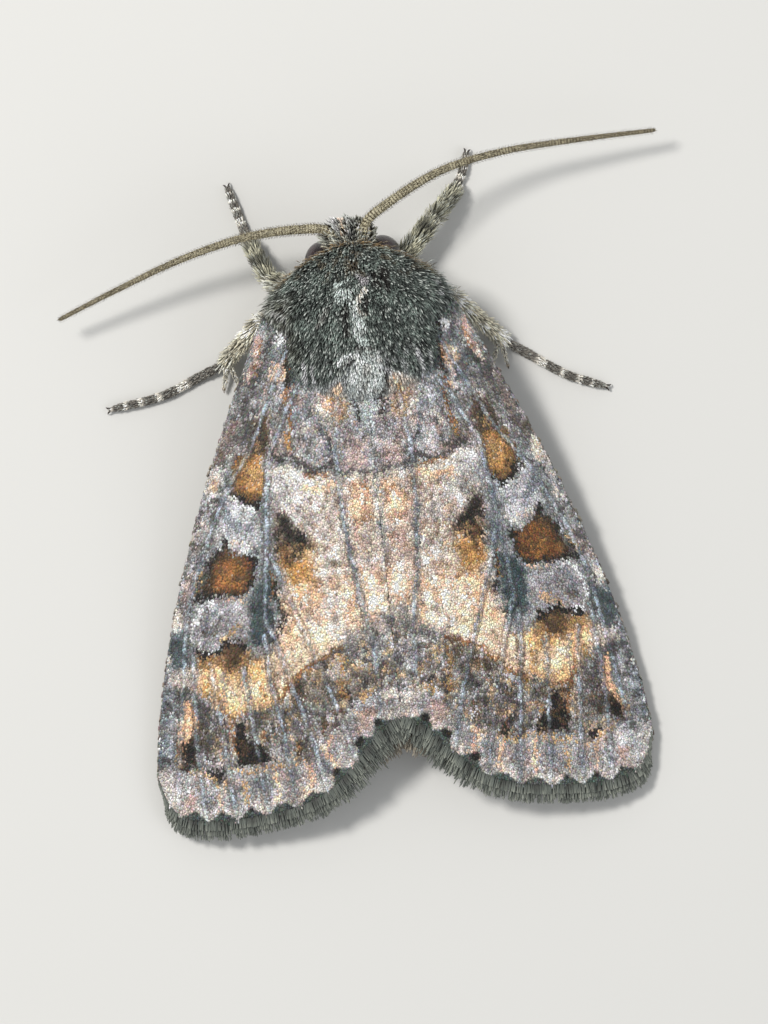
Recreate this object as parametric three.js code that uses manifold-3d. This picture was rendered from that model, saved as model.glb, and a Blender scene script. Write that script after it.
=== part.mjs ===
// An owlet moth at rest with its wings closed over its back: a still, life-size museum model.
//
// Millimetres, +Z up, head towards +Y, the moth's own right side at +X. Lengths along the body
// are given as `back`, the distance behind the brow, and widths as `out`, the distance from the
// midline. The finished moth is set down with the bottom centre of its box at the origin.
//
// Every solid reaches to the tips of the hair, scales and fringe that clothe the real part.

import * as THREE from 'three';
import { mergeVertices } from 'three/addons/utils/BufferGeometryUtils.js';
import Module from 'manifold-3d';

const { lerp, smoothstep } = THREE.MathUtils;

// ---- Driving dimensions ------------------------------------------------------------------

const CUT = 0.04; // thin cut left between neighbouring parts
const RIGHT = 1;
const LEFT = -1;

// Trunk: `bow` and `bowFullness` shape its front seen from above, `rearBluntness` its rear.
const TRUNK = {
  front: 0.5,
  shoulder: 2.9,
  rear: 7.05,
  halfWidth: 3.72,
  bow: 1.6,
  bowFullness: 0.714,
  waistLoss: 0.66,
  waistLength: 1.2,
  rearBluntness: 5,
  bellyLoss: 0.3,
};
const TRUNK_TOP = { front: 4.95, middle: 6.6, middleBack: 3.6, rear: 5.95, rise: 2.2 };
const TRUNK_BELLY = {
  collar: 4.35,
  height: 0.95,
  rear: 4.6,
  neckBack: 1.3,
  breastBack: 2.6,
  riseBack: 4.9,
};
const COLLAR = { centreBack: 3.8, innerRadius: 2.6, outerRadius: 4.4, rearBack: 2.15, blockHeight: 8 };

const HEAD = {
  front: -0.5,
  middle: 0.9,
  rear: 2.3,
  halfWidth: 1.36,
  top: 4.7,
  chin: 2.05,
  browDrop: 0.5,
  chinRise: 1.7,
  bellyLoss: 0.2,
};
const EYE = { radius: 0.82, out: 1.17, back: 1.14, height: 3.25 };
const PALP = { radius: 0.27, tipRadius: 0.2 };
const ANTENNA = { radius: 0.27, tipRadius: 0.25 };

const ABDOMEN = { front: 5.4, rear: 20.45, halfWidth: 2.2, belly: 0.62, topDrop: 1.26, taper: 0.62 };

const RIDGE = { height: 5.6, startBack: 6.0, fall: 0.19 };
const COSTA = { halfSpan: 10.2, curve: 0.0665, power: 1.556, endBack: 21.8 };
const COSTA_EDGE = { tipHeight: 0.78, levelBack: 22.5, rise: 0.0085 };
const ROOF_POWER = 1.7; // how the roof of the wings falls from the ridge to the costa
const FOREWING = {
  thickness: 0.55,
  innerEdge: 0.05,
  root: [1.2, 4.9],
  rootBack: 3.1,
  tipBack: 21.3,
  cornerBack: 20.4,
};
const HINDWING = {
  thickness: 0.5,
  innerEdge: 0.12,
  root: [1.4, 5.8],
  shoulder: [3.0, 4.9],
  tip: [8.3, 19.9],
  cornerBack: 20.75,
  clearance: 0.06,
};

const FEMUR = { radius: 0.5, taper: 0.16 };
const TIBIA = { radius: 0.42, taper: 0.2, kneeClearance: 0.3 };
const TARSUS = { radius: 0.28, taper: 0.1, axisHeight: 0.22, landing: 0.34 };
const SPUR = {
  radius: 0.25,
  tipRadius: 0.16,
  length: 1.25,
  inset: 0.3,
  tipHeight: 0.4,
  turns: [0.62, 1.15],
};

// ---- Solids from deformed three.js geometries --------------------------------------------

const wasm = await Module();
wasm.setup();

/** The geometry with only its positions, its doubled vertices joined, and every point moved. */
function mapped(geometry, place) {
  geometry.deleteAttribute('normal');
  geometry.deleteAttribute('uv');
  const joined = mergeVertices(geometry);
  const points = joined.attributes.position;
  const point = new THREE.Vector3();
  for (let i = 0; i < points.count; i += 1) {
    place(point.fromBufferAttribute(points, i));
    points.setXYZ(i, point.x, point.y, point.z);
  }
  return joined;
}

/** The geometry reflected in the midline, with its faces still pointing out. */
function mirrored(geometry) {
  const other = mapped(geometry.clone(), (point) => point.setX(-point.x));
  const corners = other.index.array;
  for (let i = 0; i < corners.length; i += 3) {
    [corners[i], corners[i + 1]] = [corners[i + 1], corners[i]];
  }
  return other;
}

/** A closed geometry as a solid for cutting and joining. */
function solid(geometry) {
  return new wasm.Manifold(new wasm.Mesh({
    numProp: 3,
    vertProperties: new Float32Array(geometry.attributes.position.array),
    triVerts: new Uint32Array(geometry.index.array),
  }));
}

/** A cut or joined solid as a geometry again. */
function geometryOf(shape) {
  const mesh = shape.getMesh();
  const geometry = new THREE.BufferGeometry();
  geometry.setAttribute('position', new THREE.BufferAttribute(mesh.vertProperties, 3));
  geometry.setIndex(new THREE.BufferAttribute(mesh.triVerts, 1));
  return geometry;
}

/** What is left of a shape once its neighbours, each a little larger than life, are cut off. */
function cutBy(shape, ...neighbours) {
  return neighbours.reduce((rest, neighbour) => rest.subtract(neighbour), shape);
}

/** Rounding of a ring at `along` (-1 to 1): full in the middle, closing to nothing at the ends. */
const rounding = (along, bluntness) => Math.sqrt(Math.max(1 - Math.abs(along) ** bluntness, 0));

/**
 * A rounded body along the moth's axis: a ball whose rings take the half width, top and bottom
 * that `section` gives for their distance behind the brow, with the belly side narrowed.
 */
function body({ front, rear, section, bellyLoss = 0, sides, rings, grow = 0 }) {
  const ball = new THREE.SphereGeometry(1, sides, rings);
  return mapped(ball, (point) => {
    const ring = Math.hypot(point.x, point.z);
    const across = ring > 1e-6 ? point.x / ring : 0;
    const up = ring > 1e-6 ? point.z / ring : 0;
    const back = lerp(rear, front, (point.y + 1) / 2);
    const { halfWidth, top, bottom } = section(back);
    const narrowing = 1 - bellyLoss * Math.max(-up, 0);
    const growing = grow * Math.min(ring * 4, 1);
    point.x = across * (halfWidth * narrowing + growing);
    point.y = -back + grow * Math.sign(point.y) * (1 - ring);
    point.z = (top + bottom) / 2 + up * ((top - bottom) / 2 + growing);
  });
}

/** A limb: a long ball carried along a curve, its girth given by the share of the way `t`. */
function limb({ route, radius, sides = 8, rings = 8, bluntness = 8, grow = 0, ground = null }) {
  const ball = new THREE.SphereGeometry(1, sides, rings);
  const turn = new THREE.Matrix4().makeRotationY(Math.PI / sides);
  ball.applyMatrix4(turn);
  const side = new THREE.Vector3();
  const upward = new THREE.Vector3();
  return mapped(ball, (point) => {
    const t = (point.y + 1) / 2;
    const ring = Math.hypot(point.x, point.z);
    const across = ring > 1e-6 ? point.x / ring : 0;
    const up = ring > 1e-6 ? point.z / ring : 0;
    const centre = route.getPointAt(t);
    const tangent = route.getTangentAt(t);
    side.crossVectors(tangent, new THREE.Vector3(0, 0, 1)).normalize();
    upward.crossVectors(side, tangent);
    const girth = radius(t) * rounding(point.y, bluntness) + grow * Math.min(ring * 4, 1);
    centre.addScaledVector(side, across * girth).addScaledVector(upward, up * girth);
    centre.addScaledVector(tangent, grow * Math.sign(point.y) * (1 - ring));
    if (ground !== null) {
      centre.z = Math.max(centre.z, ground);
    }
    point.copy(centre);
  });
}

/** A smooth route through points given as [x, y, z]. */
const routeThrough = (...points) => new THREE.CatmullRomCurve3(
  points.map((point) => new THREE.Vector3(...point)),
  false,
  'centripetal',
);

// ---- Trunk: collar and thorax, modelled whole and parted by a crescent cut ----------------

/** Half width of the hairy trunk: a blunt bow in front, shoulders, and a ragged round rear. */
function trunkHalfWidth(back) {
  const { front, shoulder, rear, halfWidth, bow, bowFullness, waistLoss, waistLength } = TRUNK;
  if (back < shoulder) {
    const ahead = (shoulder - back) / (shoulder - front);
    return halfWidth * Math.max(1 - ahead ** bow, 0) ** bowFullness;
  }
  const behind = (back - shoulder) / (rear - shoulder);
  const waist = halfWidth - waistLoss * smoothstep(back, shoulder, shoulder + waistLength);
  return waist * rounding(behind, TRUNK.rearBluntness);
}

/** Height of the trunk's crest: up over the shoulders and down to the tips over the wings. */
function trunkTop(back) {
  const { front, middle, middleBack, rear, rise } = TRUNK_TOP;
  if (back < middleBack) {
    const ahead = (middleBack - back) / (middleBack - TRUNK.front);
    return lerp(middle, front, ahead ** rise);
  }
  return lerp(middle, rear, ((back - middleBack) / (TRUNK.rear - middleBack)) ** 2);
}

/** Height of the trunk's underside: over the head, down to the breast, up to the rear tips. */
function trunkBelly(back) {
  const { collar, height, rear, neckBack, breastBack, riseBack } = TRUNK_BELLY;
  const breast = lerp(collar, height, smoothstep(back, neckBack, breastBack));
  return lerp(breast, rear, Math.max((back - riseBack) / (TRUNK.rear - riseBack), 0) ** 2);
}

/** The trunk's section, whose top and bottom meet at its two ends. */
function trunkSection(back) {
  const closing = rounding((2 * (back - TRUNK.front)) / (TRUNK.rear - TRUNK.front) - 1, 14);
  const top = trunkTop(back);
  const bottom = trunkBelly(back);
  const middle = (top + bottom) / 2;
  return {
    halfWidth: trunkHalfWidth(back),
    top: lerp(middle, top, closing),
    bottom: lerp(middle, bottom, closing),
  };
}

const trunk = (grow) => solid(body({
  front: TRUNK.front,
  rear: TRUNK.rear,
  section: trunkSection,
  bellyLoss: TRUNK.bellyLoss,
  sides: 20,
  rings: 15,
  grow,
}));

/** The crescent block that parts the collar from the thorax. */
function collarCrescent(grow) {
  const { centreBack, innerRadius, outerRadius, rearBack, blockHeight } = COLLAR;
  const inner = innerRadius - grow;
  const ahead = centreBack - rearBack - grow;
  const innerTurn = Math.asin(ahead / inner);
  const outerTurn = Math.asin(ahead / outerRadius);
  const crescent = new THREE.Shape();
  crescent.absarc(0, -centreBack, outerRadius, outerTurn, Math.PI - outerTurn, false);
  crescent.absarc(0, -centreBack, inner, Math.PI - innerTurn, innerTurn, true);
  crescent.closePath();
  const block = new THREE.ExtrudeGeometry(crescent, {
    depth: blockHeight,
    bevelEnabled: false,
    curveSegments: 9,
  });
  return solid(mapped(block, (point) => point));
}

// ---- Head ---------------------------------------------------------------------------------

/** The head's section: a pointed tuft in front, a round crown, and a chin that slopes back. */
function headSection(back) {
  const { front, middle, rear, halfWidth, top, chin, browDrop, chinRise } = HEAD;
  const ahead = Math.max((middle - back) / (middle - front), 0);
  const behind = Math.max((back - middle) / (rear - middle), 0);
  const fullness = Math.max(1 - ahead ** 1.8, 0) ** 0.7 * rounding(behind, 3);
  const crown = top - browDrop * ahead ** 2;
  const jaw = chin + chinRise * ahead ** 2;
  const centre = (crown + jaw) / 2;
  const half = ((crown - jaw) / 2) * Math.max(1 - ahead ** 3, 0) ** 0.5 * rounding(behind, 3);
  return { halfWidth: halfWidth * fullness, top: centre + half, bottom: centre - half };
}

const skull = (grow) => solid(body({
  front: HEAD.front,
  rear: HEAD.rear,
  section: headSection,
  bellyLoss: HEAD.bellyLoss,
  sides: 16,
  rings: 11,
  grow,
}));

function eye(side, grow) {
  const ball = new THREE.SphereGeometry(EYE.radius + grow, 16, 9);
  ball.translate(side * EYE.out, -EYE.back, EYE.height);
  return solid(mapped(ball, (point) => point));
}

/** A lip feeler: two rounded segments curving up in front of the face. */
const palp = (side) => solid(limb({
  route: routeThrough([side * 0.42, -0.95, 2.3], [side * 0.46, -0.3, 2.22], [side * 0.46, 0.34, 2.75]),
  radius: (t) => lerp(PALP.radius, PALP.tipRadius, t),
  rings: 7,
}));

const ANTENNA_ROUTES = {
  right: routeThrough(
    [0.5, -0.45, 4.1],
    [0.72, 0.2, 4.35],
    [1.5, 0.75, 4.25],
    [3.8, 1.9, 3.6],
    [6.3, 2.45, 2.95],
    [9.5, 2.66, 2.3],
    [12.7, 2.75, 1.75],
  ),
  left: routeThrough(
    [-0.5, -0.6, 4.1],
    [-0.95, -0.02, 4.35],
    [-2.0, 0.14, 4.15],
    [-4.2, 0.08, 3.55],
    [-6.8, -0.48, 2.9],
    [-9.4, -1.35, 2.3],
    [-12.1, -2.35, 1.75],
  ),
};

const antenna = (sideName) => solid(limb({
  route: ANTENNA_ROUTES[sideName],
  radius: (t) => lerp(ANTENNA.radius, ANTENNA.tipRadius, t),
  sides: 7,
  rings: 22,
  bluntness: 60,
}));

// ---- Wings --------------------------------------------------------------------------------

/** How far out the forewing's leading edge lies at a distance behind the brow. */
const costaOut = (back) => {
  const ahead = Math.max(COSTA.endBack - back, 0);
  return COSTA.halfSpan - COSTA.curve * ahead ** COSTA.power;
};

/** Height of the closed forewings: a low roof, from the ridge on the midline to each costa. */
function roofHeight(out, back) {
  const ridge = RIDGE.height - RIDGE.fall * Math.max(back - RIDGE.startBack, 0);
  const ahead = Math.max(COSTA_EDGE.levelBack - back, 0);
  const edge = COSTA_EDGE.tipHeight + COSTA_EDGE.rise * ahead ** 2;
  return lerp(ridge, edge, (out / costaOut(back)) ** ROOF_POWER);
}

/**
 * A wing as a bent plate. In plan it is the patch blended between four edges, each a function
 * from 0 to 1 that gives [out, back]: inner and outer run from root to rim, root and rim from
 * the inner edge to the outer one. `topAt` gives the height of its upper face.
 */
function wing({ inner, outer, root, rim, topAt, thickness, steps, strips }) {
  const plate = new THREE.BoxGeometry(1, 1, 1, strips, steps, 1);
  const blend = (u, v, axis) => {
    const along = lerp(inner(u)[axis], outer(u)[axis], v);
    const across = lerp(root(v)[axis], rim(v)[axis], u);
    const corners = lerp(
      lerp(inner(0)[axis], outer(0)[axis], v),
      lerp(inner(1)[axis], outer(1)[axis], v),
      u,
    );
    return along + across - corners;
  };
  return mapped(plate, (point) => {
    const u = 0.5 - point.y;
    const v = point.x + 0.5;
    const out = blend(u, v, 0);
    const back = blend(u, v, 1);
    const layer = point.z > 0 ? 0 : thickness;
    point.set(out, -back, topAt(out, back) - layer);
  });
}

/** The rim of a wing, fringe included, as a smooth line through [out, back] points. */
function rimThrough(...points) {
  const line = new THREE.SplineCurve(points.map((point) => new THREE.Vector2(...point)));
  return (v) => line.getPoint(v).toArray();
}

/** The wing's hind edge: from its root in to the midline, then straight along it. */
const innerEdge = (root, tipBack, edge) => (u) => [
  edge + (root[0] - edge) * Math.max(1 - 5 * u, 0) ** 2,
  lerp(root[1], tipBack, u),
];

const straight = (from, to) => (v) => [lerp(from[0], to[0], v), lerp(from[1], to[1], v)];

const forewing = () => wing({
  inner: innerEdge(FOREWING.root, FOREWING.cornerBack, FOREWING.innerEdge),
  outer: (u) => {
    const back = lerp(FOREWING.rootBack, FOREWING.tipBack, u);
    return [costaOut(back), back];
  },
  root: straight(FOREWING.root, [costaOut(FOREWING.rootBack), FOREWING.rootBack]),
  rim: rimThrough(
    [FOREWING.innerEdge, FOREWING.cornerBack],
    [0.95, 21.25],
    [2.3, 22.65],
    [4.2, 23.3],
    [6.4, 23.78],
    [8.6, 23.7],
    [9.62, 23.35],
    [9.86, 22.3],
    [costaOut(FOREWING.tipBack), FOREWING.tipBack],
  ),
  topAt: roofHeight,
  thickness: FOREWING.thickness,
  steps: 15,
  strips: 13,
});

/** The hindwing's leading edge swings out early, then runs on almost straight to its tip. */
const hindwingOuter = (u) => [
  lerp(HINDWING.shoulder[0], HINDWING.tip[0], Math.sin((u * Math.PI) / 2) ** 0.92),
  lerp(HINDWING.shoulder[1], HINDWING.tip[1], u),
];

const hindwing = () => wing({
  inner: innerEdge(HINDWING.root, HINDWING.cornerBack, HINDWING.innerEdge),
  outer: hindwingOuter,
  root: straight(HINDWING.root, HINDWING.shoulder),
  rim: rimThrough(
    [HINDWING.innerEdge, HINDWING.cornerBack],
    [2.1, 21.6],
    [4.4, 21.9],
    [6.9, 21.4],
    HINDWING.tip,
  ),
  topAt: (out, back) => roofHeight(out, back) - FOREWING.thickness - HINDWING.clearance,
  thickness: HINDWING.thickness,
  steps: 11,
  strips: 7,
});

// ---- Abdomen ------------------------------------------------------------------------------

/** The abdomen's section: full under the wings, tapering to the brush of hair at its tip. */
function abdomenSection(back) {
  const share = (back - ABDOMEN.front) / (ABDOMEN.rear - ABDOMEN.front);
  const closing = rounding(2 * share - 1, 7);
  const ridge = RIDGE.height - RIDGE.fall * Math.max(back - RIDGE.startBack, 0);
  const top = ridge - ABDOMEN.topDrop;
  const middle = lerp(ABDOMEN.belly, top, 0.5);
  return {
    halfWidth: ABDOMEN.halfWidth * (1 - ABDOMEN.taper * share ** 2.4) * closing,
    top: lerp(middle, top, closing),
    bottom: lerp(middle, ABDOMEN.belly, closing),
  };
}

const abdomen = (grow) => solid(body({
  front: ABDOMEN.front,
  rear: ABDOMEN.rear,
  section: abdomenSection,
  sides: 16,
  rings: 14,
  grow,
}));

// ---- Legs ---------------------------------------------------------------------------------

// Each leg's hip, knee, heel, a bend of the foot and its claws, as [x, y, z] with the foot's
// last points on the ground. The hind legs lie hidden under the wings and are alike.
const LEGS = {
  foreleg_right: {
    hip: [0.95, -2.5, 1.45],
    knee: [3.3, 0.12, 1.3],
    heel: [4.42, 1.3, 0.55],
    foot: [[4.75, 2.0], [5.0, 2.75]],
  },
  foreleg_left: {
    hip: [-0.95, -2.5, 1.45],
    knee: [-3.42, -1.66, 1.5],
    heel: [-4.15, 0.1, 0.55],
    foot: [[-4.4, 1.0], [-4.75, 2.35]],
  },
  midleg_right: {
    hip: [1.5, -4.1, 1.5],
    knee: [3.7, -2.95, 2.15],
    heel: [5.75, -5.0, 0.55],
    foot: [[8.1, -6.6], [9.65, -7.25]],
  },
  midleg_left: {
    hip: [-1.5, -4.1, 1.5],
    knee: [-3.9, -3.2, 2.15],
    heel: [-5.65, -4.75, 0.55],
    foot: [[-8.2, -5.75], [-10.4, -6.1]],
  },
  hindleg_right: {
    hip: [1.5, -5.2, 1.6],
    knee: [3.95, -7.9, 1.95],
    heel: [4.85, -13.0, 0.55],
    foot: [[5.2, -15.6], [5.45, -18.0]],
  },
  hindleg_left: {
    hip: [-1.5, -5.2, 1.6],
    knee: [-3.95, -7.9, 1.95],
    heel: [-4.85, -13.0, 0.55],
    foot: [[-5.2, -15.6], [-5.45, -18.0]],
  },
};

const femur = ({ hip, knee }, grow) => solid(limb({
  route: new THREE.LineCurve3(new THREE.Vector3(...hip), new THREE.Vector3(...knee)),
  radius: (t) => FEMUR.radius * (1 - FEMUR.taper * t),
  rings: 7,
  grow,
}));

/** The shin, from just past the knee, with the pair of spurs at the heel of all but forelegs. */
function tibia({ knee, heel }, spurs, grow) {
  const end = new THREE.Vector3(...heel);
  const start = new THREE.Vector3(...knee);
  start.lerp(end, TIBIA.kneeClearance / start.distanceTo(end));
  const shin = limb({
    route: new THREE.LineCurve3(start, end),
    radius: (t) => TIBIA.radius * (1 - TIBIA.taper * t),
    rings: 7,
    grow,
  });
  return spurs.reduce((shape, spur) => shape.add(solid(limb({
    route: spur,
    radius: (t) => lerp(SPUR.radius, SPUR.tipRadius, t),
    sides: 6,
    rings: 4,
    grow,
  }))), solid(shin));
}

/** Two spurs from the heel, one to each side of the foot, pointing on and a little inward. */
function spursOf({ knee, heel }) {
  const upright = new THREE.Vector3(0, 0, 1);
  const shin = new THREE.Vector3(...heel).sub(new THREE.Vector3(...knee));
  const start = new THREE.Vector3(...heel).addScaledVector(shin, -SPUR.inset / shin.length());
  const inward = -Math.sign(start.x);
  shin.setZ(0).normalize();
  return SPUR.turns.map((turn) => {
    const along = shin.clone().applyAxisAngle(upright, inward * turn);
    const tip = start.clone().addScaledVector(along, SPUR.length).setZ(SPUR.tipHeight);
    return new THREE.LineCurve3(start, tip);
  });
}

/** The foot: down from the heel, then flat on the ground, where its sole is one level plane. */
const tarsus = ({ heel, foot }) => {
  const start = new THREE.Vector3(...heel);
  const [bend, tip] = foot.map(([x, y]) => new THREE.Vector3(x, y, TARSUS.axisHeight));
  const landing = start.clone().lerp(bend, TARSUS.landing).setZ(TARSUS.axisHeight);
  return solid(limb({
    route: new THREE.CatmullRomCurve3([start, landing, bend, tip]),
    radius: (t) => TARSUS.radius * (1 - TARSUS.taper * t),
    rings: 10,
    bluntness: 24,
    ground: 0,
  }));
};

// ---- The moth, part by part ---------------------------------------------------------------

const moth = new THREE.Group();

/** Adds one named part in its own finish. */
function addPart(name, geometry, { color, roughness = 0.9 }) {
  const material = new THREE.MeshStandardMaterial({ color, roughness, metalness: 0 });
  const mesh = new THREE.Mesh(geometry, material);
  mesh.name = name;
  moth.add(mesh);
}

const FINISH = {
  hair: { color: '#4a4a42' },
  collar: { color: '#55503f' },
  eye: { color: '#3b3547', roughness: 0.3 },
  forewing: { color: '#8f8074' },
  hindwing: { color: '#8a8176' },
  abdomen: { color: '#8b8272' },
  antenna: { color: '#6b5a3f', roughness: 0.7 },
  leg: { color: '#8c8778' },
  foot: { color: '#3f3a33', roughness: 0.75 },
};

const grownTrunk = trunk(CUT);
const grownEyes = [eye(RIGHT, CUT), eye(LEFT, CUT)];
const grownSkull = skull(CUT);
const grownAbdomen = abdomen(CUT);

addPart('collar', geometryOf(cutBy(trunk(0).intersect(collarCrescent(0)), ...grownEyes)), FINISH.collar);
addPart('thorax', geometryOf(cutBy(trunk(0), collarCrescent(CUT), ...grownEyes)), FINISH.hair);
addPart('head', geometryOf(cutBy(skull(0), grownTrunk, ...grownEyes)), FINISH.hair);
addPart('abdomen', geometryOf(cutBy(abdomen(0), grownTrunk)), FINISH.abdomen);

const rightForewing = geometryOf(cutBy(solid(forewing()), grownTrunk));
const rightHindwing = geometryOf(cutBy(solid(hindwing()), grownTrunk, grownAbdomen));
const SIDES = [['right', RIGHT], ['left', LEFT]];

for (const [sideName, side] of SIDES) {
  const ofSide = (geometry) => (side === RIGHT ? geometry.clone() : mirrored(geometry));
  addPart(`eye_${sideName}`, geometryOf(eye(side, 0)), FINISH.eye);
  addPart(`palp_${sideName}`, geometryOf(cutBy(palp(side), grownSkull)), FINISH.hair);
  const feeler = cutBy(antenna(sideName), grownSkull, grownTrunk);
  addPart(`antenna_${sideName}`, geometryOf(feeler), FINISH.antenna);
  addPart(`forewing_${sideName}`, ofSide(rightForewing), FINISH.forewing);
  addPart(`hindwing_${sideName}`, ofSide(rightHindwing), FINISH.hindwing);
}

for (const [name, joints] of Object.entries(LEGS)) {
  const spurs = name.startsWith('foreleg') ? [] : spursOf(joints);
  const thigh = cutBy(femur(joints, 0), grownTrunk, grownAbdomen, grownSkull);
  const shin = cutBy(tibia(joints, spurs, 0), femur(joints, CUT));
  const foot = cutBy(tarsus(joints), tibia(joints, spurs, CUT));
  addPart(`${name}_femur`, geometryOf(thigh), FINISH.leg);
  addPart(`${name}_tibia`, geometryOf(shin), FINISH.leg);
  addPart(`${name}_tarsus`, geometryOf(foot), FINISH.foot);
}

// Set the moth down: the bottom centre of its box becomes the origin.
const box = new THREE.Box3().setFromObject(moth);
moth.position.set(-(box.min.x + box.max.x) / 2, -(box.min.y + box.max.y) / 2, -box.min.z);

const model = new THREE.Group();
model.add(moth);

export default model;
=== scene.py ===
# An owlet moth at rest with its wings closed over its back: a still, life-size museum model.
#
# Shapes are worked out in millimetres from the brow, x to the moth's own right, y ahead and z up
# from the floor, with `back` = -y and `out` = the distance from the midline. Each piece is set in
# the frame by make_piece. Colours are written as they look and turned into light by to_light.

import bpy
import numpy as np
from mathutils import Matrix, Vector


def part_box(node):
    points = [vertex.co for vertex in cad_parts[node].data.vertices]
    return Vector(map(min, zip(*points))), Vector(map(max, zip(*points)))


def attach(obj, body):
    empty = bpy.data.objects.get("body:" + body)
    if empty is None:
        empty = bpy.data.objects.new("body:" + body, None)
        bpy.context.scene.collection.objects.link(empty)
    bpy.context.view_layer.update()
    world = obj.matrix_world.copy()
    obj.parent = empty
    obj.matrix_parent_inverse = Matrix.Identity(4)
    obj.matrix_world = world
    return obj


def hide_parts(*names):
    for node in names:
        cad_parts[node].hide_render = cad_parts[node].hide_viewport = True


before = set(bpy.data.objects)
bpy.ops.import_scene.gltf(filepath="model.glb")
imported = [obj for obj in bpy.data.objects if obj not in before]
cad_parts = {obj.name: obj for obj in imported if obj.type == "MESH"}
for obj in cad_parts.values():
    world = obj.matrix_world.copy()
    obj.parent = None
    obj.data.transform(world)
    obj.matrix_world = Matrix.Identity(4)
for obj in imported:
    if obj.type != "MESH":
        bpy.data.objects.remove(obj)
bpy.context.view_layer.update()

# ---- The moth's own measure ---------------------------------------------------------------
# The brow is where the crown of the head meets the face. It lies a little ahead of the line
# through the middles of the two eyes, which the frame gives.

MM = 0.001
BROW_AHEAD_OF_EYES = 1.14

eye_corners = [corner for side in ("right", "left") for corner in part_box(f"eye_{side}")]
middle_of_eyes = np.mean(eye_corners, axis=0)
BROW = np.array([middle_of_eyes[0], middle_of_eyes[1] + BROW_AHEAD_OF_EYES * MM, 0.0])

# ---- Floor, light and camera --------------------------------------------------------------
# A pale level floor under a soft lamp from the upper left, a weaker one from the lower right and
# a pale sky. The camera looks straight down, turned a little so that the moth leans to the left.

CAMERA_HEIGHT = 222.0
CAMERA_TURN = np.radians(-6.0)
VIEW_CENTRE = (0.17, -11.36)
VIEW_LENGTH = 40.96  # how much of the moth's plane the long side of the view takes in
WING_LEVEL = 2.5  # the height that the view is measured at
FILM = 36.0
FLOOR_REACH = 0.5  # metres from the middle of the floor to its edges


def to_light(colour):
    """A colour as it looks, from 0 to 1, as the share of light that it sends back (sRGB's curve)."""
    colour = np.asarray(colour, float)
    return np.where(colour <= 0.04045, colour / 12.92, ((colour + 0.055) / 1.055) ** 2.4)


def new_material(name, roughness, specular=0.5):
    """A material with its nodes, its links and its one shader."""
    material = bpy.data.materials.new(name)
    material.use_nodes = True
    shader = material.node_tree.nodes["Principled BSDF"]
    shader.inputs["Roughness"].default_value = roughness
    shader.inputs["Specular IOR Level"].default_value = specular
    return material, material.node_tree.nodes, material.node_tree.links, shader


floor_mesh = bpy.data.meshes.new("floor")
floor_corners = [(x * FLOOR_REACH, y * FLOOR_REACH, 0) for x, y in ((-1, -1), (1, -1), (1, 1), (-1, 1))]
floor_mesh.from_pydata(floor_corners, [], [(0, 1, 2, 3)])
floor = bpy.data.objects.new("floor", floor_mesh)
bpy.context.scene.collection.objects.link(floor)
floor_material, nodes, links, shader = new_material("pale_floor", roughness=0.9, specular=0.2)
shader.inputs["Base Color"].default_value = (*to_light((0.79, 0.785, 0.77)), 1)
floor_mesh.materials.append(floor_material)


def area_lamp(name, place, size, power, colour):
    """A square lamp at a place in millimetres from the middle of the view, facing that middle."""
    lamp = bpy.data.lights.new(name, "AREA")
    lamp.size = size * MM
    lamp.energy = power
    lamp.color = colour
    stand = bpy.data.objects.new(name, lamp)
    bpy.context.scene.collection.objects.link(stand)
    middle = BROW + np.array([*VIEW_CENTRE, WING_LEVEL]) * MM
    stand.location = middle + np.array(place) * MM
    away = stand.location - type(stand.location)(middle)
    stand.rotation_euler = away.to_track_quat("Z", "Y").to_euler()


area_lamp("key_lamp", (-125, 100, 250), size=60, power=0.8, colour=(1.0, 0.985, 0.96))
area_lamp("fill_lamp", (190, -120, 160), size=160, power=0.14, colour=(0.94, 0.96, 1.0))

sky = bpy.data.worlds.new("sky")
sky.use_nodes = True
sky.node_tree.nodes["Background"].inputs["Color"].default_value = (0.94, 0.97, 1.0, 1)
sky.node_tree.nodes["Background"].inputs["Strength"].default_value = 0.56
bpy.context.scene.world = sky
bpy.context.scene.view_settings.view_transform = "Standard"

lens = bpy.data.cameras.new("camera")
lens.lens = FILM * (CAMERA_HEIGHT - WING_LEVEL) / VIEW_LENGTH
lens.sensor_width = FILM
lens.clip_start = 0.005
camera = bpy.data.objects.new("camera", lens)
bpy.context.scene.collection.objects.link(camera)
camera.location = BROW + np.array([*VIEW_CENTRE, CAMERA_HEIGHT]) * MM
camera.rotation_euler = (0, 0, CAMERA_TURN)
bpy.context.scene.camera = camera

# ---- Skin: trunk, head, lip feelers, abdomen and legs -------------------------------------
# The horny skin of the moth, one piece from the brow to the claws, with the hair's shades darkened on it
# as painted shade, since it lies under the hair.
# It lies inside the solids by the depth of the hair and scales, and shows where these part.

SIDES = (("right", 1), ("left", -1))  # each side's name and the sign of its x

TRUNK = dict(front=0.5, rear=7.05, shoulder=2.9, half_width=3.72, waist_loss=0.66, belly_loss=0.3)
TRUNK_TOP = dict(height=6.6, back=3.6, bow_length=3.1, bow_drop=1.65, rear_length=3.45, rear_drop=0.65)
TRUNK_BOTTOM = dict(neck=4.35, belly=0.95, rear=4.6, level_back=4.9, rear_length=2.15)
HEAD = dict(front=-0.5, rear=2.3, middle=0.9, half_width=1.36, top=4.7, chin=2.05, belly_loss=0.2)
FACE = dict(brow_drop=0.5, chin_rise=1.7)  # how the crown and the chin close in towards the front
ABDOMEN = dict(front=5.4, rear=20.45, half_width=2.2, belly=0.62, top_drop=1.26, rings=8)
ABDOMEN_TAPER = 0.62
RING_SWELL = 0.03
EYE = dict(radius=0.82, out=1.17, back=1.14, height=3.25)
RIDGE = dict(height=5.6, start_back=6.0, fall=0.19)

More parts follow.
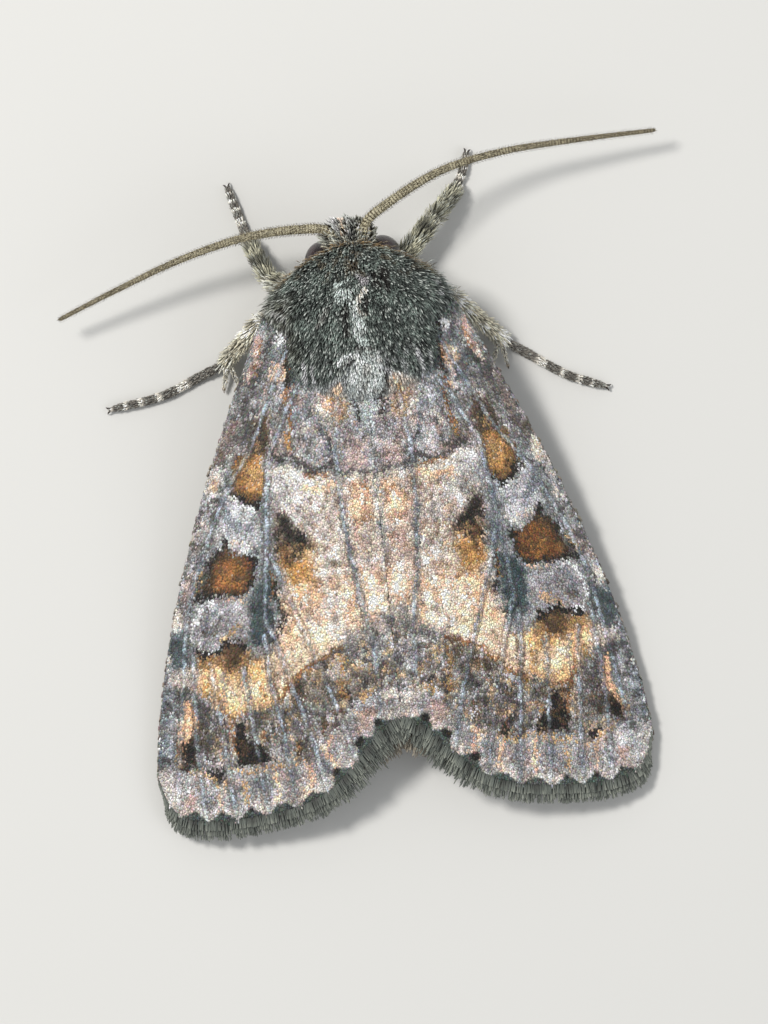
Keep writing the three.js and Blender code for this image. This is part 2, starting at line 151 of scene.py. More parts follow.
TRUNK_HAIR_DEPTH = 0.3
COLLAR_RISE = 0.18  # how much nearer the skin lies to the solid at the collar's front edge
HEAD_HAIR_DEPTH = 0.3
ABDOMEN_HAIR_DEPTH = 0.22

PALP_POINTS = [(0.42, -0.95, 2.3), (0.46, -0.3, 2.22), (0.46, 0.34, 2.75)]

# Each leg: hip, knee, heel, a bend of the foot and its claws. The hind legs are hidden and alike.
FOOT_AXIS = 0.22
HINDLEG = [(1.5, -5.2, 1.6), (3.95, -7.9, 1.95), (4.85, -13.0, 0.55), (5.2, -15.6), (5.45, -18.0)]
LEGS = {
    "foreleg_right": [(0.95, -2.5, 1.45), (3.3, 0.12, 1.3), (4.42, 1.3, 0.55),
                      (4.75, 2.0), (5.0, 2.75)],
    "foreleg_left": [(-0.95, -2.5, 1.45), (-3.42, -1.66, 1.5), (-4.15, 0.1, 0.55),
                     (-4.4, 1.0), (-4.75, 2.35)],
    "midleg_right": [(1.5, -4.1, 1.5), (3.7, -2.95, 2.15), (5.75, -5.0, 0.55),
                     (8.1, -6.6), (9.65, -7.25)],
    "midleg_left": [(-1.5, -4.1, 1.5), (-3.9, -3.2, 2.15), (-5.65, -4.75, 0.55),
                    (-8.2, -5.75), (-10.4, -6.1)],
    "hindleg_right": HINDLEG,
    "hindleg_left": [(-x, *rest) for x, *rest in HINDLEG],
}
SPUR_LENGTH = 1.25
SPUR_TURNS = (0.62, 1.15)
SPUR_START = 0.3  # how far up the shin the spurs stand
SPUR_END_HEIGHT = 0.3
LANDING = 0.34  # where the foot comes down to the floor, as a share of its way to the bend
LEAST_HEIGHT = 0.01  # nothing of a foot reaches into the floor
LIMB_SKIN = dict(
    femur=(0.3, 0.25), tibia=(0.24, 0.2), tarsus=(0.17, 0.13), spur=(0.1, 0.05), palp=(0.19, 0.13)
)
SKIN_GRAIN = 0.1  # the fineness that the skin's parts are fused at


def smooth(value, start, end):
    """0 up to start, 1 from end on, and a smooth slope between them."""
    share = np.clip((value - start) / (end - start), 0, 1)
    return share * share * (3 - 2 * share)


def blended(start, end, share):
    """The value that is `share` of the way from start to end."""
    return start + (end - start) * share


def rounding(along, bluntness):
    """The girth of a ring at `along`, from -1 to 1: full in the middle, nothing at both ends."""
    return np.sqrt(np.maximum(1 - np.abs(along) ** bluntness, 0))


def ridge_height(back):
    """Height of the ridge where both forewings meet over the back, falling towards the rear."""
    return RIDGE["height"] - RIDGE["fall"] * np.maximum(back - RIDGE["start_back"], 0)


def trunk_section(back):
    """Half width, top and bottom of the trunk: a blunt bow, shoulders, and a steep rear."""
    length = TRUNK["rear"] - TRUNK["shoulder"]
    ahead = np.clip((TRUNK["shoulder"] - back) / (TRUNK["shoulder"] - TRUNK["front"]), 0, 1)
    behind = np.clip((back - TRUNK["shoulder"]) / length, 0, 1)
    waist = TRUNK["half_width"] - TRUNK["waist_loss"] * smooth(back, 2.9, 4.1)
    bow_half = TRUNK["half_width"] * (1 - ahead**1.6) ** 0.714
    half = np.where(ahead > 0, bow_half, waist * rounding(behind, 5))
    bow = TRUNK_TOP["bow_drop"] * (np.abs(TRUNK_TOP["back"] - back) / TRUNK_TOP["bow_length"]) ** 2.2
    fall = TRUNK_TOP["rear_drop"] * ((back - TRUNK_TOP["back"]) / TRUNK_TOP["rear_length"]) ** 2
    top = TRUNK_TOP["height"] - np.where(back < TRUNK_TOP["back"], bow, fall)
    bottom = blended(TRUNK_BOTTOM["neck"], TRUNK_BOTTOM["belly"], smooth(back, 1.3, 2.6))
    rise = np.maximum((back - TRUNK_BOTTOM["level_back"]) / TRUNK_BOTTOM["rear_length"], 0) ** 2
    bottom = blended(bottom, TRUNK_BOTTOM["rear"], rise)
    closing = rounding(2 * (back - TRUNK["front"]) / (TRUNK["rear"] - TRUNK["front"]) - 1, 14)
    middle = (top + bottom) / 2
    return half, blended(middle, top, closing), blended(middle, bottom, closing)


def head_section(back):
    """Half width, top and bottom of the head: a tuft in front, a round crown, a receding chin."""
    ahead = np.clip((HEAD["middle"] - back) / (HEAD["middle"] - HEAD["front"]), 0, 1)
    behind = np.clip((back - HEAD["middle"]) / (HEAD["rear"] - HEAD["middle"]), 0, 1)
    crown = HEAD["top"] - FACE["brow_drop"] * ahead**2
    jaw = HEAD["chin"] + FACE["chin_rise"] * ahead**2
    middle = (crown + jaw) / 2
    half_height = (crown - jaw) / 2 * (1 - ahead**3) ** 0.5 * rounding(behind, 3)
    half = HEAD["half_width"] * (1 - ahead**1.8) ** 0.7 * rounding(behind, 3)
    return half, middle + half_height, middle - half_height


def abdomen_section(back):
    """Half width, top and bottom of the abdomen: rings that taper to the brush at its tip."""
    share = np.clip((back - ABDOMEN["front"]) / (ABDOMEN["rear"] - ABDOMEN["front"]), 0, 1)
    closing = rounding(2 * share - 1, 7)
    swell = 1 + RING_SWELL * np.abs(np.sin(np.pi * ABDOMEN["rings"] * share))
    top = ridge_height(back) - ABDOMEN["top_drop"]
    middle = (ABDOMEN["belly"] + top) / 2
    half_height = (top - middle) * closing * swell
    half = ABDOMEN["half_width"] * (1 - ABDOMEN_TAPER * share**2.4) * closing * swell
    return half, middle + half_height, middle - half_height


def ringed(section, front, rear, belly_loss=0.0):
    """A body as a function of t, from front to rear, and w, once round from the top by the right.

    Its ring at t has the section's half width across and runs from its bottom to its top."""

    def surface(t, w):
        back = blended(front, rear, t)
        half, top, bottom = section(back)
        across, up = np.sin(2 * np.pi * w), np.cos(2 * np.pi * w)
        x = across * half * (1 - belly_loss * np.maximum(-up, 0))
        return np.stack([x, -back + 0 * x, (top + bottom) / 2 + up * (top - bottom) / 2], -1)

    return surface


def drawn_in(surface, depth):
    """The same body made smaller about its middle, so that each side lies `depth` further in."""
    t, w = np.meshgrid(np.linspace(0, 1, 40), np.linspace(0, 1, 40), indexing="ij")
    points = surface(t, w).reshape(-1, 3)
    middle = (points.min(0) + points.max(0)) / 2
    share = 1 - depth / ((points.max(0) - points.min(0)) / 2)
    return lambda t, w: middle + (surface(t, w) - middle) * share


def route_through(points):
    """A smooth way through points, as a function of the share of its length.

    Cubic stretches join the points, and the slope at each comes from its two neighbours."""
    points = np.array(points, float)
    knots = np.concatenate([[0], np.cumsum(np.linalg.norm(np.diff(points, axis=0), axis=1) ** 0.5)])
    slopes = np.gradient(points, knots, axis=0)
    fine = np.linspace(0, knots[-1], 400)
    i = np.clip(np.searchsorted(knots, fine, side="right") - 1, 0, len(points) - 2)
    span = (knots[i + 1] - knots[i])[:, None]
    s = (fine - knots[i])[:, None] / span
    line = (2 * s**3 - 3 * s**2 + 1) * points[i] + (s**3 - 2 * s**2 + s) * span * slopes[i]
    line = line + (3 * s**2 - 2 * s**3) * points[i + 1] + (s**3 - s**2) * span * slopes[i + 1]
    way = np.concatenate([[0], np.cumsum(np.linalg.norm(np.diff(line, axis=0), axis=1))])
    return lambda t: np.stack([np.interp(t * way[-1], way, axis) for axis in line.T], -1)


def unit(vectors):
    """The vectors, each made one long."""
    return vectors / (np.linalg.norm(vectors, axis=-1, keepdims=True) + 1e-12)


def limb(route, radius, bluntness=8, ground=None):
    """A limb as a function of t along its route and w round it: a ring of radius(t) at each t."""

    def surface(t, w):
        centre = route(t)
        tangent = unit(route(np.minimum(t + 0.01, 1)) - route(np.maximum(t - 0.01, 0)))
        side = unit(np.cross([0.0, 0.0, 1.0], tangent))
        upward = np.cross(tangent, side)
        girth = (radius(t) * rounding(2 * t - 1, bluntness))[..., None]
        turn = 2 * np.pi * np.asarray(w)[..., None]
        points = centre + girth * (side * np.sin(turn) + upward * np.cos(turn))
        if ground is not None:
            points[..., 2] = np.maximum(points[..., 2], ground)
        return points

    return surface


def ring_places(rings):
    """Where the rings of a closed body lie along it, from pole to pole: closer towards each."""
    return (1 - np.cos(np.linspace(0, np.pi, rings + 2))) / 2


def closed_grid(surface, rings, sides):
    """Points and triangles of a closed body: rings of t between two poles, joined round w."""
    t = ring_places(rings)
    rows, turns = np.meshgrid(t[1:-1], np.arange(sides) / sides, indexing="ij")
    poles = [surface(np.full(4, end), np.arange(4) / 4).mean(0) for end in (t[0], t[-1])]
    points = np.concatenate([surface(rows, turns).reshape(-1, 3), poles])
    index = np.arange(rings * sides).reshape(rings, sides)
    a, b = index[:-1], index[1:]
    c, d = np.roll(b, -1, 1), np.roll(a, -1, 1)
    first, last = rings * sides, rings * sides + 1
    start, end = index[0], index[-1]
    faces = [
        np.stack([a, b, c], -1).reshape(-1, 3),
        np.stack([a, c, d], -1).reshape(-1, 3),
        np.stack([np.full(sides, first), start, np.roll(start, -1)], -1),
        np.stack([np.full(sides, last), np.roll(end, -1), end], -1),
    ]
    return points, np.concatenate(faces)


def tapered(radii):
    """A girth that goes evenly from the first radius to the second."""
    return lambda t: blended(radii[0], radii[1], t)


def leg_routes(joints):
    """The ways of a leg's thigh, shin and foot, and of the spurs that stand at its heel."""
    hip, knee, heel = (np.array(point) for point in joints[:3])
    bend, tip = (np.array([*point, FOOT_AXIS]) for point in joints[3:])
    landing = blended(heel, bend, LANDING)
    landing[2] = FOOT_AXIS
    shin = unit((heel - knee) * [1, 1, 0])
    routes = {
        "femur": route_through([hip, knee]),
        "tibia": route_through([knee, heel]),
        "tarsus": route_through([heel, landing, bend, tip]),
    }
    if bend[1] < 0:
        for number, turn in enumerate(SPUR_TURNS):
            turn = -np.sign(heel[0]) * turn
            along = np.array([shin[0] * np.cos(turn) - shin[1] * np.sin(turn),
                              shin[0] * np.sin(turn) + shin[1] * np.cos(turn), 0])
            start = heel - SPUR_START * unit(heel - knee)
            end = start + SPUR_LENGTH * along
            end[2] = SPUR_END_HEIGHT
            routes[f"spur_{number}"] = route_through([start, end])
    return routes


def joined(parts):
    """Several parts as one: their points and faces, then whatever else each point carries."""
    starts = np.cumsum([0] + [len(part[0]) for part in parts[:-1]])
    faces = np.concatenate([part[1] + start for part, start in zip(parts, starts)])
    return [np.concatenate([part[0] for part in parts]), faces] + [
        np.concatenate(carried) for carried in list(zip(*parts))[2:]
    ]


def make_piece(name, points, faces, material, tints=None, unwrap=None):
    """An object from points in millimetres and faces with equally many corners.

    Each point may carry a tint, kept as an attribute, and a place on the unwrap for baking."""
    mesh = bpy.data.meshes.new(name)
    mesh.vertices.add(len(points))
    mesh.vertices.foreach_set("co", (points * MM + BROW).astype(np.float32).ravel())
    corners = np.ascontiguousarray(faces, np.int32)
    mesh.loops.add(corners.size)
    mesh.loops.foreach_set("vertex_index", corners.ravel())
    mesh.polygons.add(len(corners))
    mesh.polygons.foreach_set("loop_start", np.arange(0, corners.size, corners.shape[1], dtype=np.int32))
    mesh.update(calc_edges=True)
    mesh.shade_smooth()
    if tints is not None:
        opaque = np.concatenate([to_light(np.clip(tints, 0, 1)), np.ones((len(tints), 1))], 1)
        attribute = mesh.attributes.new("tint", "FLOAT_COLOR", "POINT")
        attribute.data.foreach_set("color", opaque.astype(np.float32).ravel())
    if unwrap is not None:
        layer = mesh.uv_layers.new(name="OFBake")
        layer.uv.foreach_set("vector", unwrap[corners.ravel()].astype(np.float32).ravel())
    mesh.materials.append(material)
    made = bpy.data.objects.new(name, mesh)
    bpy.context.scene.collection.objects.link(made)
    return made


whole_trunk = ringed(trunk_section, TRUNK["front"], TRUNK["rear"], TRUNK["belly_loss"])
whole_head = ringed(head_section, HEAD["front"], HEAD["rear"], HEAD["belly_loss"])
whole_abdomen = ringed(abdomen_section, ABDOMEN["front"], ABDOMEN["rear"])
evenly_drawn_in = drawn_in(whole_trunk, TRUNK_HAIR_DEPTH)


def trunk_skin(t, w):
    """The trunk's skin, which comes up close under the collar's front edge."""
    points = evenly_drawn_in(t, w)
    points[..., 1] += COLLAR_RISE * (1 - smooth(np.asarray(t), 0.02, 0.3))
    return points


head_skin = drawn_in(whole_head, HEAD_HAIR_DEPTH)
abdomen_skin = drawn_in(whole_abdomen, ABDOMEN_HAIR_DEPTH)

palp_skins = {
    side: limb(route_through([(sign * x, y, z) for x, y, z in PALP_POINTS]), tapered(LIMB_SKIN["palp"]))
    for side, sign in SIDES
}
limb_ways = {
    (leg, part): way for leg, joints in LEGS.items() for part, way in leg_routes(joints).items()
}
limb_skins = {
    (leg, part): limb(way, tapered(LIMB_SKIN[part.split("_")[0]]), ground=LEAST_HEIGHT)
    for (leg, part), way in limb_ways.items()
}

skin_parts = [closed_grid(trunk_skin, rings=60, sides=80), closed_grid(head_skin, rings=40, sides=60)]
skin_parts += [closed_grid(abdomen_skin, rings=120, sides=60)]
skin_parts += [closed_grid(surface, rings=30, sides=16) for surface in palp_skins.values()]
skin_parts += [closed_grid(surface, rings=60, sides=16) for surface in limb_skins.values()]
skin_points, skin_faces = joined(skin_parts)


def fused(points, faces, grain, rounds):
    """One closed surface round all the parts, with the creases between them smoothed away."""
    rough = bpy.data.meshes.new("rough")
    rough.from_pydata(points.tolist(), [], faces.tolist())
    holder = bpy.data.objects.new("rough", rough)
    bpy.context.scene.collection.objects.link(holder)
    remesh = holder.modifiers.new("remesh", "REMESH")
    remesh.mode = "VOXEL"
    remesh.voxel_size = grain
    easing = holder.modifiers.new("easing", "SMOOTH")
    easing.iterations = rounds
    easing.factor = 0.5
    made = holder.evaluated_get(bpy.context.evaluated_depsgraph_get()).to_mesh()
    made_points = np.empty(len(made.vertices) * 3)
    made.vertices.foreach_get("co", made_points)
    made_faces = np.empty(len(made.loops), np.int32)
    made.loops.foreach_get("vertex_index", made_faces)
    quads = made_faces.reshape(-1, 4)
    bpy.data.objects.remove(holder)
    bpy.data.meshes.remove(rough)
    return made_points.reshape(-1, 3), quads


# The shades of the whole moth, as they look.
SHADES = {
    "ground": (0.53, 0.54, 0.54),
    "lavender": (0.65, 0.63, 0.64),
    "border grey": (0.60, 0.59, 0.59),
    "haze": (0.80, 0.79, 0.80),
    "slate": (0.40, 0.43, 0.46),
    "dark slate": (0.23, 0.28, 0.29),
    "buff": (0.83, 0.76, 0.69),
    "rose": (0.76, 0.63, 0.58),
    "peach": (1.0, 0.79, 0.64),
    "cream": (1.0, 0.80, 0.61),
    "ivory": (1.0, 0.95, 0.89),
    "butter": (1.0, 0.89, 0.75),
    "white": (1.0, 1.0, 0.99),
    "chalk": (0.90, 0.94, 0.92),
    "tan": (0.82, 0.65, 0.45),
    "ochre": (0.68, 0.50, 0.29),
    "rust": (0.52, 0.34, 0.19),
    "umber": (0.34, 0.26, 0.18),
    "smoke": (0.55, 0.53, 0.51),
    "soot": (0.26, 0.25, 0.24),
    "black": (0.10, 0.09, 0.08),
    "pile": (0.30, 0.33, 0.31),
}

# The outlines of the pale lobes at the trunk's rear, as (x, back).
RIGHT_LOBE = [(0.8, 6.3), (1.4, 5.95), (2, 6.2), (2, 7.2), (1.3, 7.7), (0.8, 7.2)]
LEFT_LOBE = [(-1.6, 6.5), (-1.1, 6.2), (-0.8, 6.9), (-0.9, 7.6), (-1.6, 7.3)]

# The markings of the trunk and head. Each is a patch that fills its outline, flecks that fill
# theirs in part, or a line along its path, and has its shade, its strength, how soft its edge is
# or how wide the line is to each side, and then its points as (x, back). They lie in this order.
TRUNK_MARKS = [
    ("patch ground", 0.95, 0.4, (-3.4, 6), (-2.2, 6.2), (-1, 6), (-0.6, 5.3), (0.6, 5.2), (1, 5.9),
     (2.2, 6.1), (3.4, 5.9), (3.4, 9), (-3.4, 9)),
    ("patch buff", 0.7, 0.3, *RIGHT_LOBE),
    ("flecks peach", 0.9, 0.3, *RIGHT_LOBE),
    ("line ochre", 0.6, 0.14, (1.35, 6.4), (1.2, 7)),
    ("patch buff", 0.8, 0.3, *LEFT_LOBE),
    ("flecks peach", 0.9, 0.3, *LEFT_LOBE),
    ("line tan", 0.6, 0.2, (-2.9, 6), (-3, 7)),
    ("patch umber", 0.25, 1, (-4, 2.2), (-3.9, 4.6), (-2.6, 5.2), (-2.8, 2.6)),
    ("flecks umber", 0.45, 0.5, (-3, 2.2), (-1.5, 1.1), (0, 0.4), (1.5, 1), (3, 2), (1, 2), (-1, 2)),
    ("line umber", 0.35, 0.3, (-0.2, 1.5), (0.1, 1.8)),
    ("flecks haze", 0.6, 0.3, (3, 2.3), (3.9, 2.3), (3.9, 3.1), (3, 3.1)),
    ("flecks haze", 0.55, 0.5, (-3.9, 2.9), (-3, 2.8), (-3, 4.4), (-3.9, 4.4)),
    ("patch chalk", 0.7, 0.25, (-1, 2.45), (-0.5, 2.4), (-0.1, 2.6), (-0.1, 3), (-0.85, 3.15)),
    ("patch lavender", 0.95, 0.2, (0.1, 1.9), (0.55, 1.9), (0.6, 2.35), (0.15, 2.5)),
    ("line chalk", 0.7, 0.14, (-0.75, 2.25), (-0.25, 2.1)),
    ("line ivory", 0.9, 0.15, (0.4, 2.6), (0.12, 2.9), (0.02, 3.3), (0.2, 3.55)),
    ("line chalk", 0.9, 0.26, (-0.15, 3.1), (-0.05, 3.6), (-0.1, 4.2)),
    ("line chalk", 0.7, 0.3, (-0.1, 4.1), (0.1, 4.7)),
    ("line smoke", 0.6, 0.14, (-1.3, 3.2), (-1.7, 3.9)),
    ("line black", 1, 0.13, (0.75, 1.9), (0.8, 2.55)),
    ("line black", 0.9, 0.24, (1.15, 1.95), (1.2, 2.5)),
    ("line black", 0.8, 0.09, (0.3, 2.9), (0.42, 3.5)),
    ("line black", 0.8, 0.18, (-0.5, 3.35), (-0.6, 4.3)),
    ("line soot", 0.6, 0.16, (-0.2, 4.9), (0.3, 4.95)),
    ("line black", 0.7, 0.12, (-0.85, 5.5), (-0.35, 5.45)),
    ("line chalk", 0.9, 0.13, (-0.95, 5.3), (-0.5, 5.1)),
    ("line black", 0.7, 0.1, (-0.15, 4.85), (0, 5.2)),
    ("flecks haze", 0.45, 0.5, (-2.3, 4.9), (2.3, 4.9), (2.1, 6.3), (-2.1, 6.3)),
    ("patch chalk", 0.62, 0.45, (-0.5, 5.8), (-0.2, 5.1), (0.4, 5.1), (0.65, 6), (0.3, 7.3), (-0.3, 7.3),
     (-0.6, 6.4)),
    ("flecks soot", 0.45, 0.3, (-1, 2.4), (0.5, 2.4), (0.4, 7), (-0.6, 7), (-0.4, 4)),
    ("line ground", 0.5, 0.2, (-0.15, 6.5), (-0.05, 7)),
    # Painted shade: the dark crease along the right side of the pale tuft at the rear.
    ("line black", 0.8, 0.09, (0.95, 5.9), (0.65, 6.5), (0.45, 7.4)),
    ("line haze", 0.6, 0.1, (0.6, 5.75), (1.1, 6)),
    ("flecks white", 0.6, 0.2, (-0.6, 5), (0.7, 5), (0.7, 7.4), (-0.6, 7.4)),
    ("flecks smoke", 0.6, 0.2, (-0.6, 5.2), (0.7, 5.2), (0.7, 7.4), (-0.6, 7.4)),
    ("line haze", 0.8, 0.14, (-2.5, 5.3), (-2.35, 6.5)),
    ("line haze", 0.7, 0.1, (-2.1, 5.5), (-2, 6.5)),
    ("line haze", 0.8, 0.14, (2.2, 5.2), (2.35, 6.4)),
    ("line haze", 0.7, 0.1, (2.65, 5.2), (2.7, 6.2)),
]
HEAD_MARKS = [
    ("patch ground", 0.35, 0.4, (-0.9, -0.6), (0.2, -0.6), (0.2, 0.5), (-0.9, 0.5)),
    ("flecks haze", 0.7, 0.3, (-1.1, -0.7), (1.1, -0.7), (1.1, 0.6), (-1.1, 0.6)),
    ("line peach", 0.55, 0.09, (-0.3, 0.3), (-0.28, -0.3)),
    ("line haze", 0.8, 0.12, (-0.5, 0.1), (-0.55, -0.4)),
    ("line haze", 0.5, 0.1, (0.65, 0.4), (0.5, -0.1)),
    ("line soot", 0.6, 0.14, (0.05, 0.4), (0.1, -0.3)),
]


def cloud(x, y, size, seed):
    """Smooth chance from -1 to 1: random values on a lattice `size` wide, blended between points."""
    lattice = np.random.default_rng(seed).uniform(-1, 1, (512, 512))
    column, row = np.asarray(x) / size + 200.0, np.asarray(y) / size + 200.0
    i, j = np.floor(column).astype(int), np.floor(row).astype(int)
    a, b = smooth(column - i, 0, 1), smooth(row - j, 0, 1)
    low = blended(lattice[i % 512, j % 512], lattice[(i + 1) % 512, j % 512], a)
    high = blended(lattice[i % 512, (j + 1) % 512], lattice[(i + 1) % 512, (j + 1) % 512], a)
    return blended(low, high, b)


def way_off(x, y, path):
    """Distance from each point to a path of straight stretches."""
    nearest = np.full(np.shape(x), np.inf)
    for (x0, y0), (x1, y1) in zip(path[:-1], path[1:]):
        dx, dy = x1 - x0, y1 - y0
        share = np.clip(((x - x0) * dx + (y - y0) * dy) / (dx * dx + dy * dy), 0, 1)
        nearest = np.minimum(nearest, np.hypot(x - x0 - share * dx, y - y0 - share * dy))
    return nearest


def depth_in(x, y, outline):
    """How far each point is inside a closed outline, negative outside it."""
    closed = outline + outline[:1]
    inside = np.zeros(np.shape(x), bool)
    for (x0, y0), (x1, y1) in zip(closed[:-1], closed[1:]):
        crossed = ((y0 > y) != (y1 > y)) & (x < (x1 - x0) * (y - y0) / (y1 - y0 if y1 != y0 else 1) + x0)
        inside ^= crossed
    return np.where(inside, 1, -1) * way_off(x, y, closed)


def shaded(first, second, share):
    """A shade for each point, `share` of the way from the first to the second."""
    return blended(np.asarray(first), np.asarray(second), share[:, None])


def laid_over(tints, shade, cover):
    """The tints with a shade laid over them where cover is above 0."""
    return blended(tints, np.array(SHADES[shade]), np.clip(cover, 0, 1)[..., None])


def marked(tints, x, y, marks, seed=0):
    """The tints with all the marks laid over them in turn; flecks fill their outline in part."""
    for number, (look, strength, width, *points) in enumerate(marks):
        kind, shade = look.split(" ", 1)
        if kind in ("patch", "flecks"):
            cover = smooth(depth_in(x, y, points), -width / 2, width / 2)
            if kind == "flecks":
                cover = cover * smooth(cloud(x, 0.75 * y, 0.17, seed + number), 0.1, 0.6)
        else:
            cover = 1 - smooth(way_off(x, y, points), width * 0.4, width * 1.1)
        tints = laid_over(tints, shade, cover * strength)
    return tints


def trunk_tints(x, back, seed):
    """Dark olive grey, mottled, with pale and brown marks along the middle and at the rear."""
    tints = np.zeros((*np.shape(x), 3)) + SHADES["pile"]
    mottle = 0.25 * cloud(x, back, 0.5, seed) + 0.4 * cloud(x, back, 0.16, seed + 5)
    shift_x = 0.1 * cloud(x, back, 0.5, seed + 1) + 0.06 * cloud(x, back, 0.2, seed + 2)
    shift_y = 0.12 * cloud(x, back, 0.5, seed + 3) + 0.08 * cloud(x, back, 0.2, seed + 4)
    return marked(tints * (1 + mottle)[..., None], x + shift_x, back + shift_y, TRUNK_MARKS, seed)


def head_tints(x, back, seed):
    """Olive grey, with a pale streak down the middle of the tuft."""
    tints = np.zeros((*np.shape(x), 3)) + [0.50, 0.49, 0.44]
    return marked(tints * (1 + 0.3 * cloud(x, back, 0.2, seed))[..., None], x, back, HEAD_MARKS)


def abdomen_tints(down, belly):
    """Grey-brown above and buff below, each ring darker at its front.

    `down` is the share of the length, and `belly` is 1 on the underside."""
    shades = shaded([0.42, 0.38, 0.34], [0.60, 0.54, 0.46], belly)
    return shades * (0.82 + 0.26 * (ABDOMEN["rings"] * down % 1))[:, None]


FOOT_JOINTS = (0.0, 0.42, 0.6, 0.75, 0.87, 1.0)  # where the joints of a foot end, as shares of it
LEG_MOTTLE = dict(size=0.35, seed=150)


def limb_tints(leg, kind, t, mottle):
    """Mottled grey thighs and shins with pale ends, ringed feet, and pale spurs with dark tips."""
    if kind == "tarsus":
        joint = np.interp(t, FOOT_JOINTS, range(6)) % 1
        return shaded([0.42, 0.40, 0.37], [0.88, 0.85, 0.80], smooth(joint, 0.68, 0.8))
    if kind == "spur":
        return shaded([0.86, 0.83, 0.76], [0.42, 0.36, 0.30], smooth(t, 0.75, 1.0))
    grey = np.array([0.84, 0.81, 0.72] if leg.startswith("mid") else [0.55, 0.54, 0.47])
    pale_end = smooth(t, 0.86, 0.96) * (0.5 if leg == "foreleg_right" else 0.85)
    return shaded(grey * (1 + 0.4 * mottle[:, None]), [0.93, 0.91, 0.86], pale_end)


HEAD_SEED, TRUNK_SEED = 81, 73
LEG_GIRTH = 0.42  # what lies this close to the middle of a limb belongs to it


def skin_tints(points):
    """The skin's shades: those of the hair that grows there, region by region, darkened as painted shade
    under the hair and scales.
    """
    x, back = points[:, 0], -points[:, 1]
    crown, trunk = head_tints(x, back, HEAD_SEED), trunk_tints(x, back, TRUNK_SEED)
    tints = shaded(crown, trunk, smooth(back, 0.5, 1.0))
    down = (back - ABDOMEN["front"]) / (ABDOMEN["rear"] - ABDOMEN["front"])
    belly = smooth(ABDOMEN["belly"] + 2.2 - points[:, 2], 0.0, 1.6)
    tints = shaded(tints, abdomen_tints(down, belly), smooth(back + 1.6 * belly, 6.8, 7.3))
    closest = np.full(len(points), LEG_GIRTH)
    for (leg, part), way in limb_ways.items():
        off = np.linalg.norm(points[:, None] - way(np.linspace(0, 1, 25)), axis=2)
        near = off.min(1) < closest
        closest = np.minimum(closest, off.min(1))
        mottle = cloud(x[near], back[near], LEG_MOTTLE["size"], LEG_MOTTLE["seed"])
        tints[near] = limb_tints(leg, part.split("_")[0], off[near].argmin(1) / 24, mottle)
    # Painted shade: the skin takes 0.55 of the shades, as it lies in the shade of the hair and scales.
    return 0.55 * tints


def add_node(nodes, kind, values=()):
    """A new node with values on its own inputs."""
    node = nodes.new("ShaderNode" + kind)
    for socket, value in dict(values).items():
        node.inputs[socket].default_value = value
    return node


def tinted_material(name, roughness, specular, grain, mottle, bump, sheen=0.0):
    """The tint that each point carries, mottled by a noise of the given grain, with a fine bump."""
    material, nodes, links, shader = new_material(name, roughness, specular)
    shader.inputs["Sheen Weight"].default_value = sheen
    shader.inputs["Sheen Roughness"].default_value = 0.4
    tint = add_node(nodes, "Attribute")
    tint.attribute_name = "tint"
    place = add_node(nodes, "TexCoord")
    noise = add_node(nodes, "TexNoise", {"Scale": 1 / (grain * MM), "Detail": 3})
    shade = add_node(nodes, "MapRange", {"To Min": 1 - mottle, "To Max": 1 + mottle})
    mixed = add_node(nodes, "VectorMath")
    mixed.operation = "MULTIPLY"
    relief = add_node(nodes, "Bump", {"Distance": bump * MM})
    links.new(place.outputs["Object"], noise.inputs["Vector"])
    links.new(noise.outputs["Fac"], shade.inputs["Value"])
    links.new(tint.outputs["Color"], mixed.inputs[0])
    links.new(shade.outputs["Result"], mixed.inputs[1])
    links.new(mixed.outputs["Vector"], shader.inputs["Base Color"])
    links.new(noise.outputs["Fac"], relief.inputs["Height"])
    links.new(relief.outputs["Normal"], shader.inputs["Normal"])
    return material


skin_points, skin_faces = fused(skin_points, skin_faces, SKIN_GRAIN, rounds=3)
skin_material = tinted_material(
    "horny_skin", roughness=0.6, specular=0.4, grain=0.3, mottle=0.25, bump=0.02
)
skin = make_piece("skin", skin_points, skin_faces, skin_material, skin_tints(skin_points))
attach(skin, "root")
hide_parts("head", "collar", "thorax", "abdomen", "palp_right", "palp_left")
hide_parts(*[f"{leg}_{part}" for leg in LEGS for part in ("femur", "tibia", "tarsus")])

# ---- Eyes ---------------------------------------------------------------------------------
# Two large round compound eyes, one to each side of the head, of hundreds of tiny facets. They
# are glossy and dark, purple-brown, and stand in a rim of short scales.

EYE_SHRINK = 0.04  # what the scales of the rim take off the solid's radius
FACET = 0.045
BLOTCH = 0.5


def eye_dome(sign):
    """A ball about the eye's middle, its poles fore and aft, a little flatter from side to side."""

    def surface(t, w):
        polar, turn = np.pi * t, 2 * np.pi * w
        radius = EYE["radius"] - EYE_SHRINK
        x = 0.97 * radius * np.sin(polar) * np.sin(turn)
        y = radius * np.cos(polar)
        z = radius * np.sin(polar) * np.cos(turn)
        return np.stack([sign * EYE["out"] + x, y - EYE["back"], EYE["height"] + z], -1)

    return surface


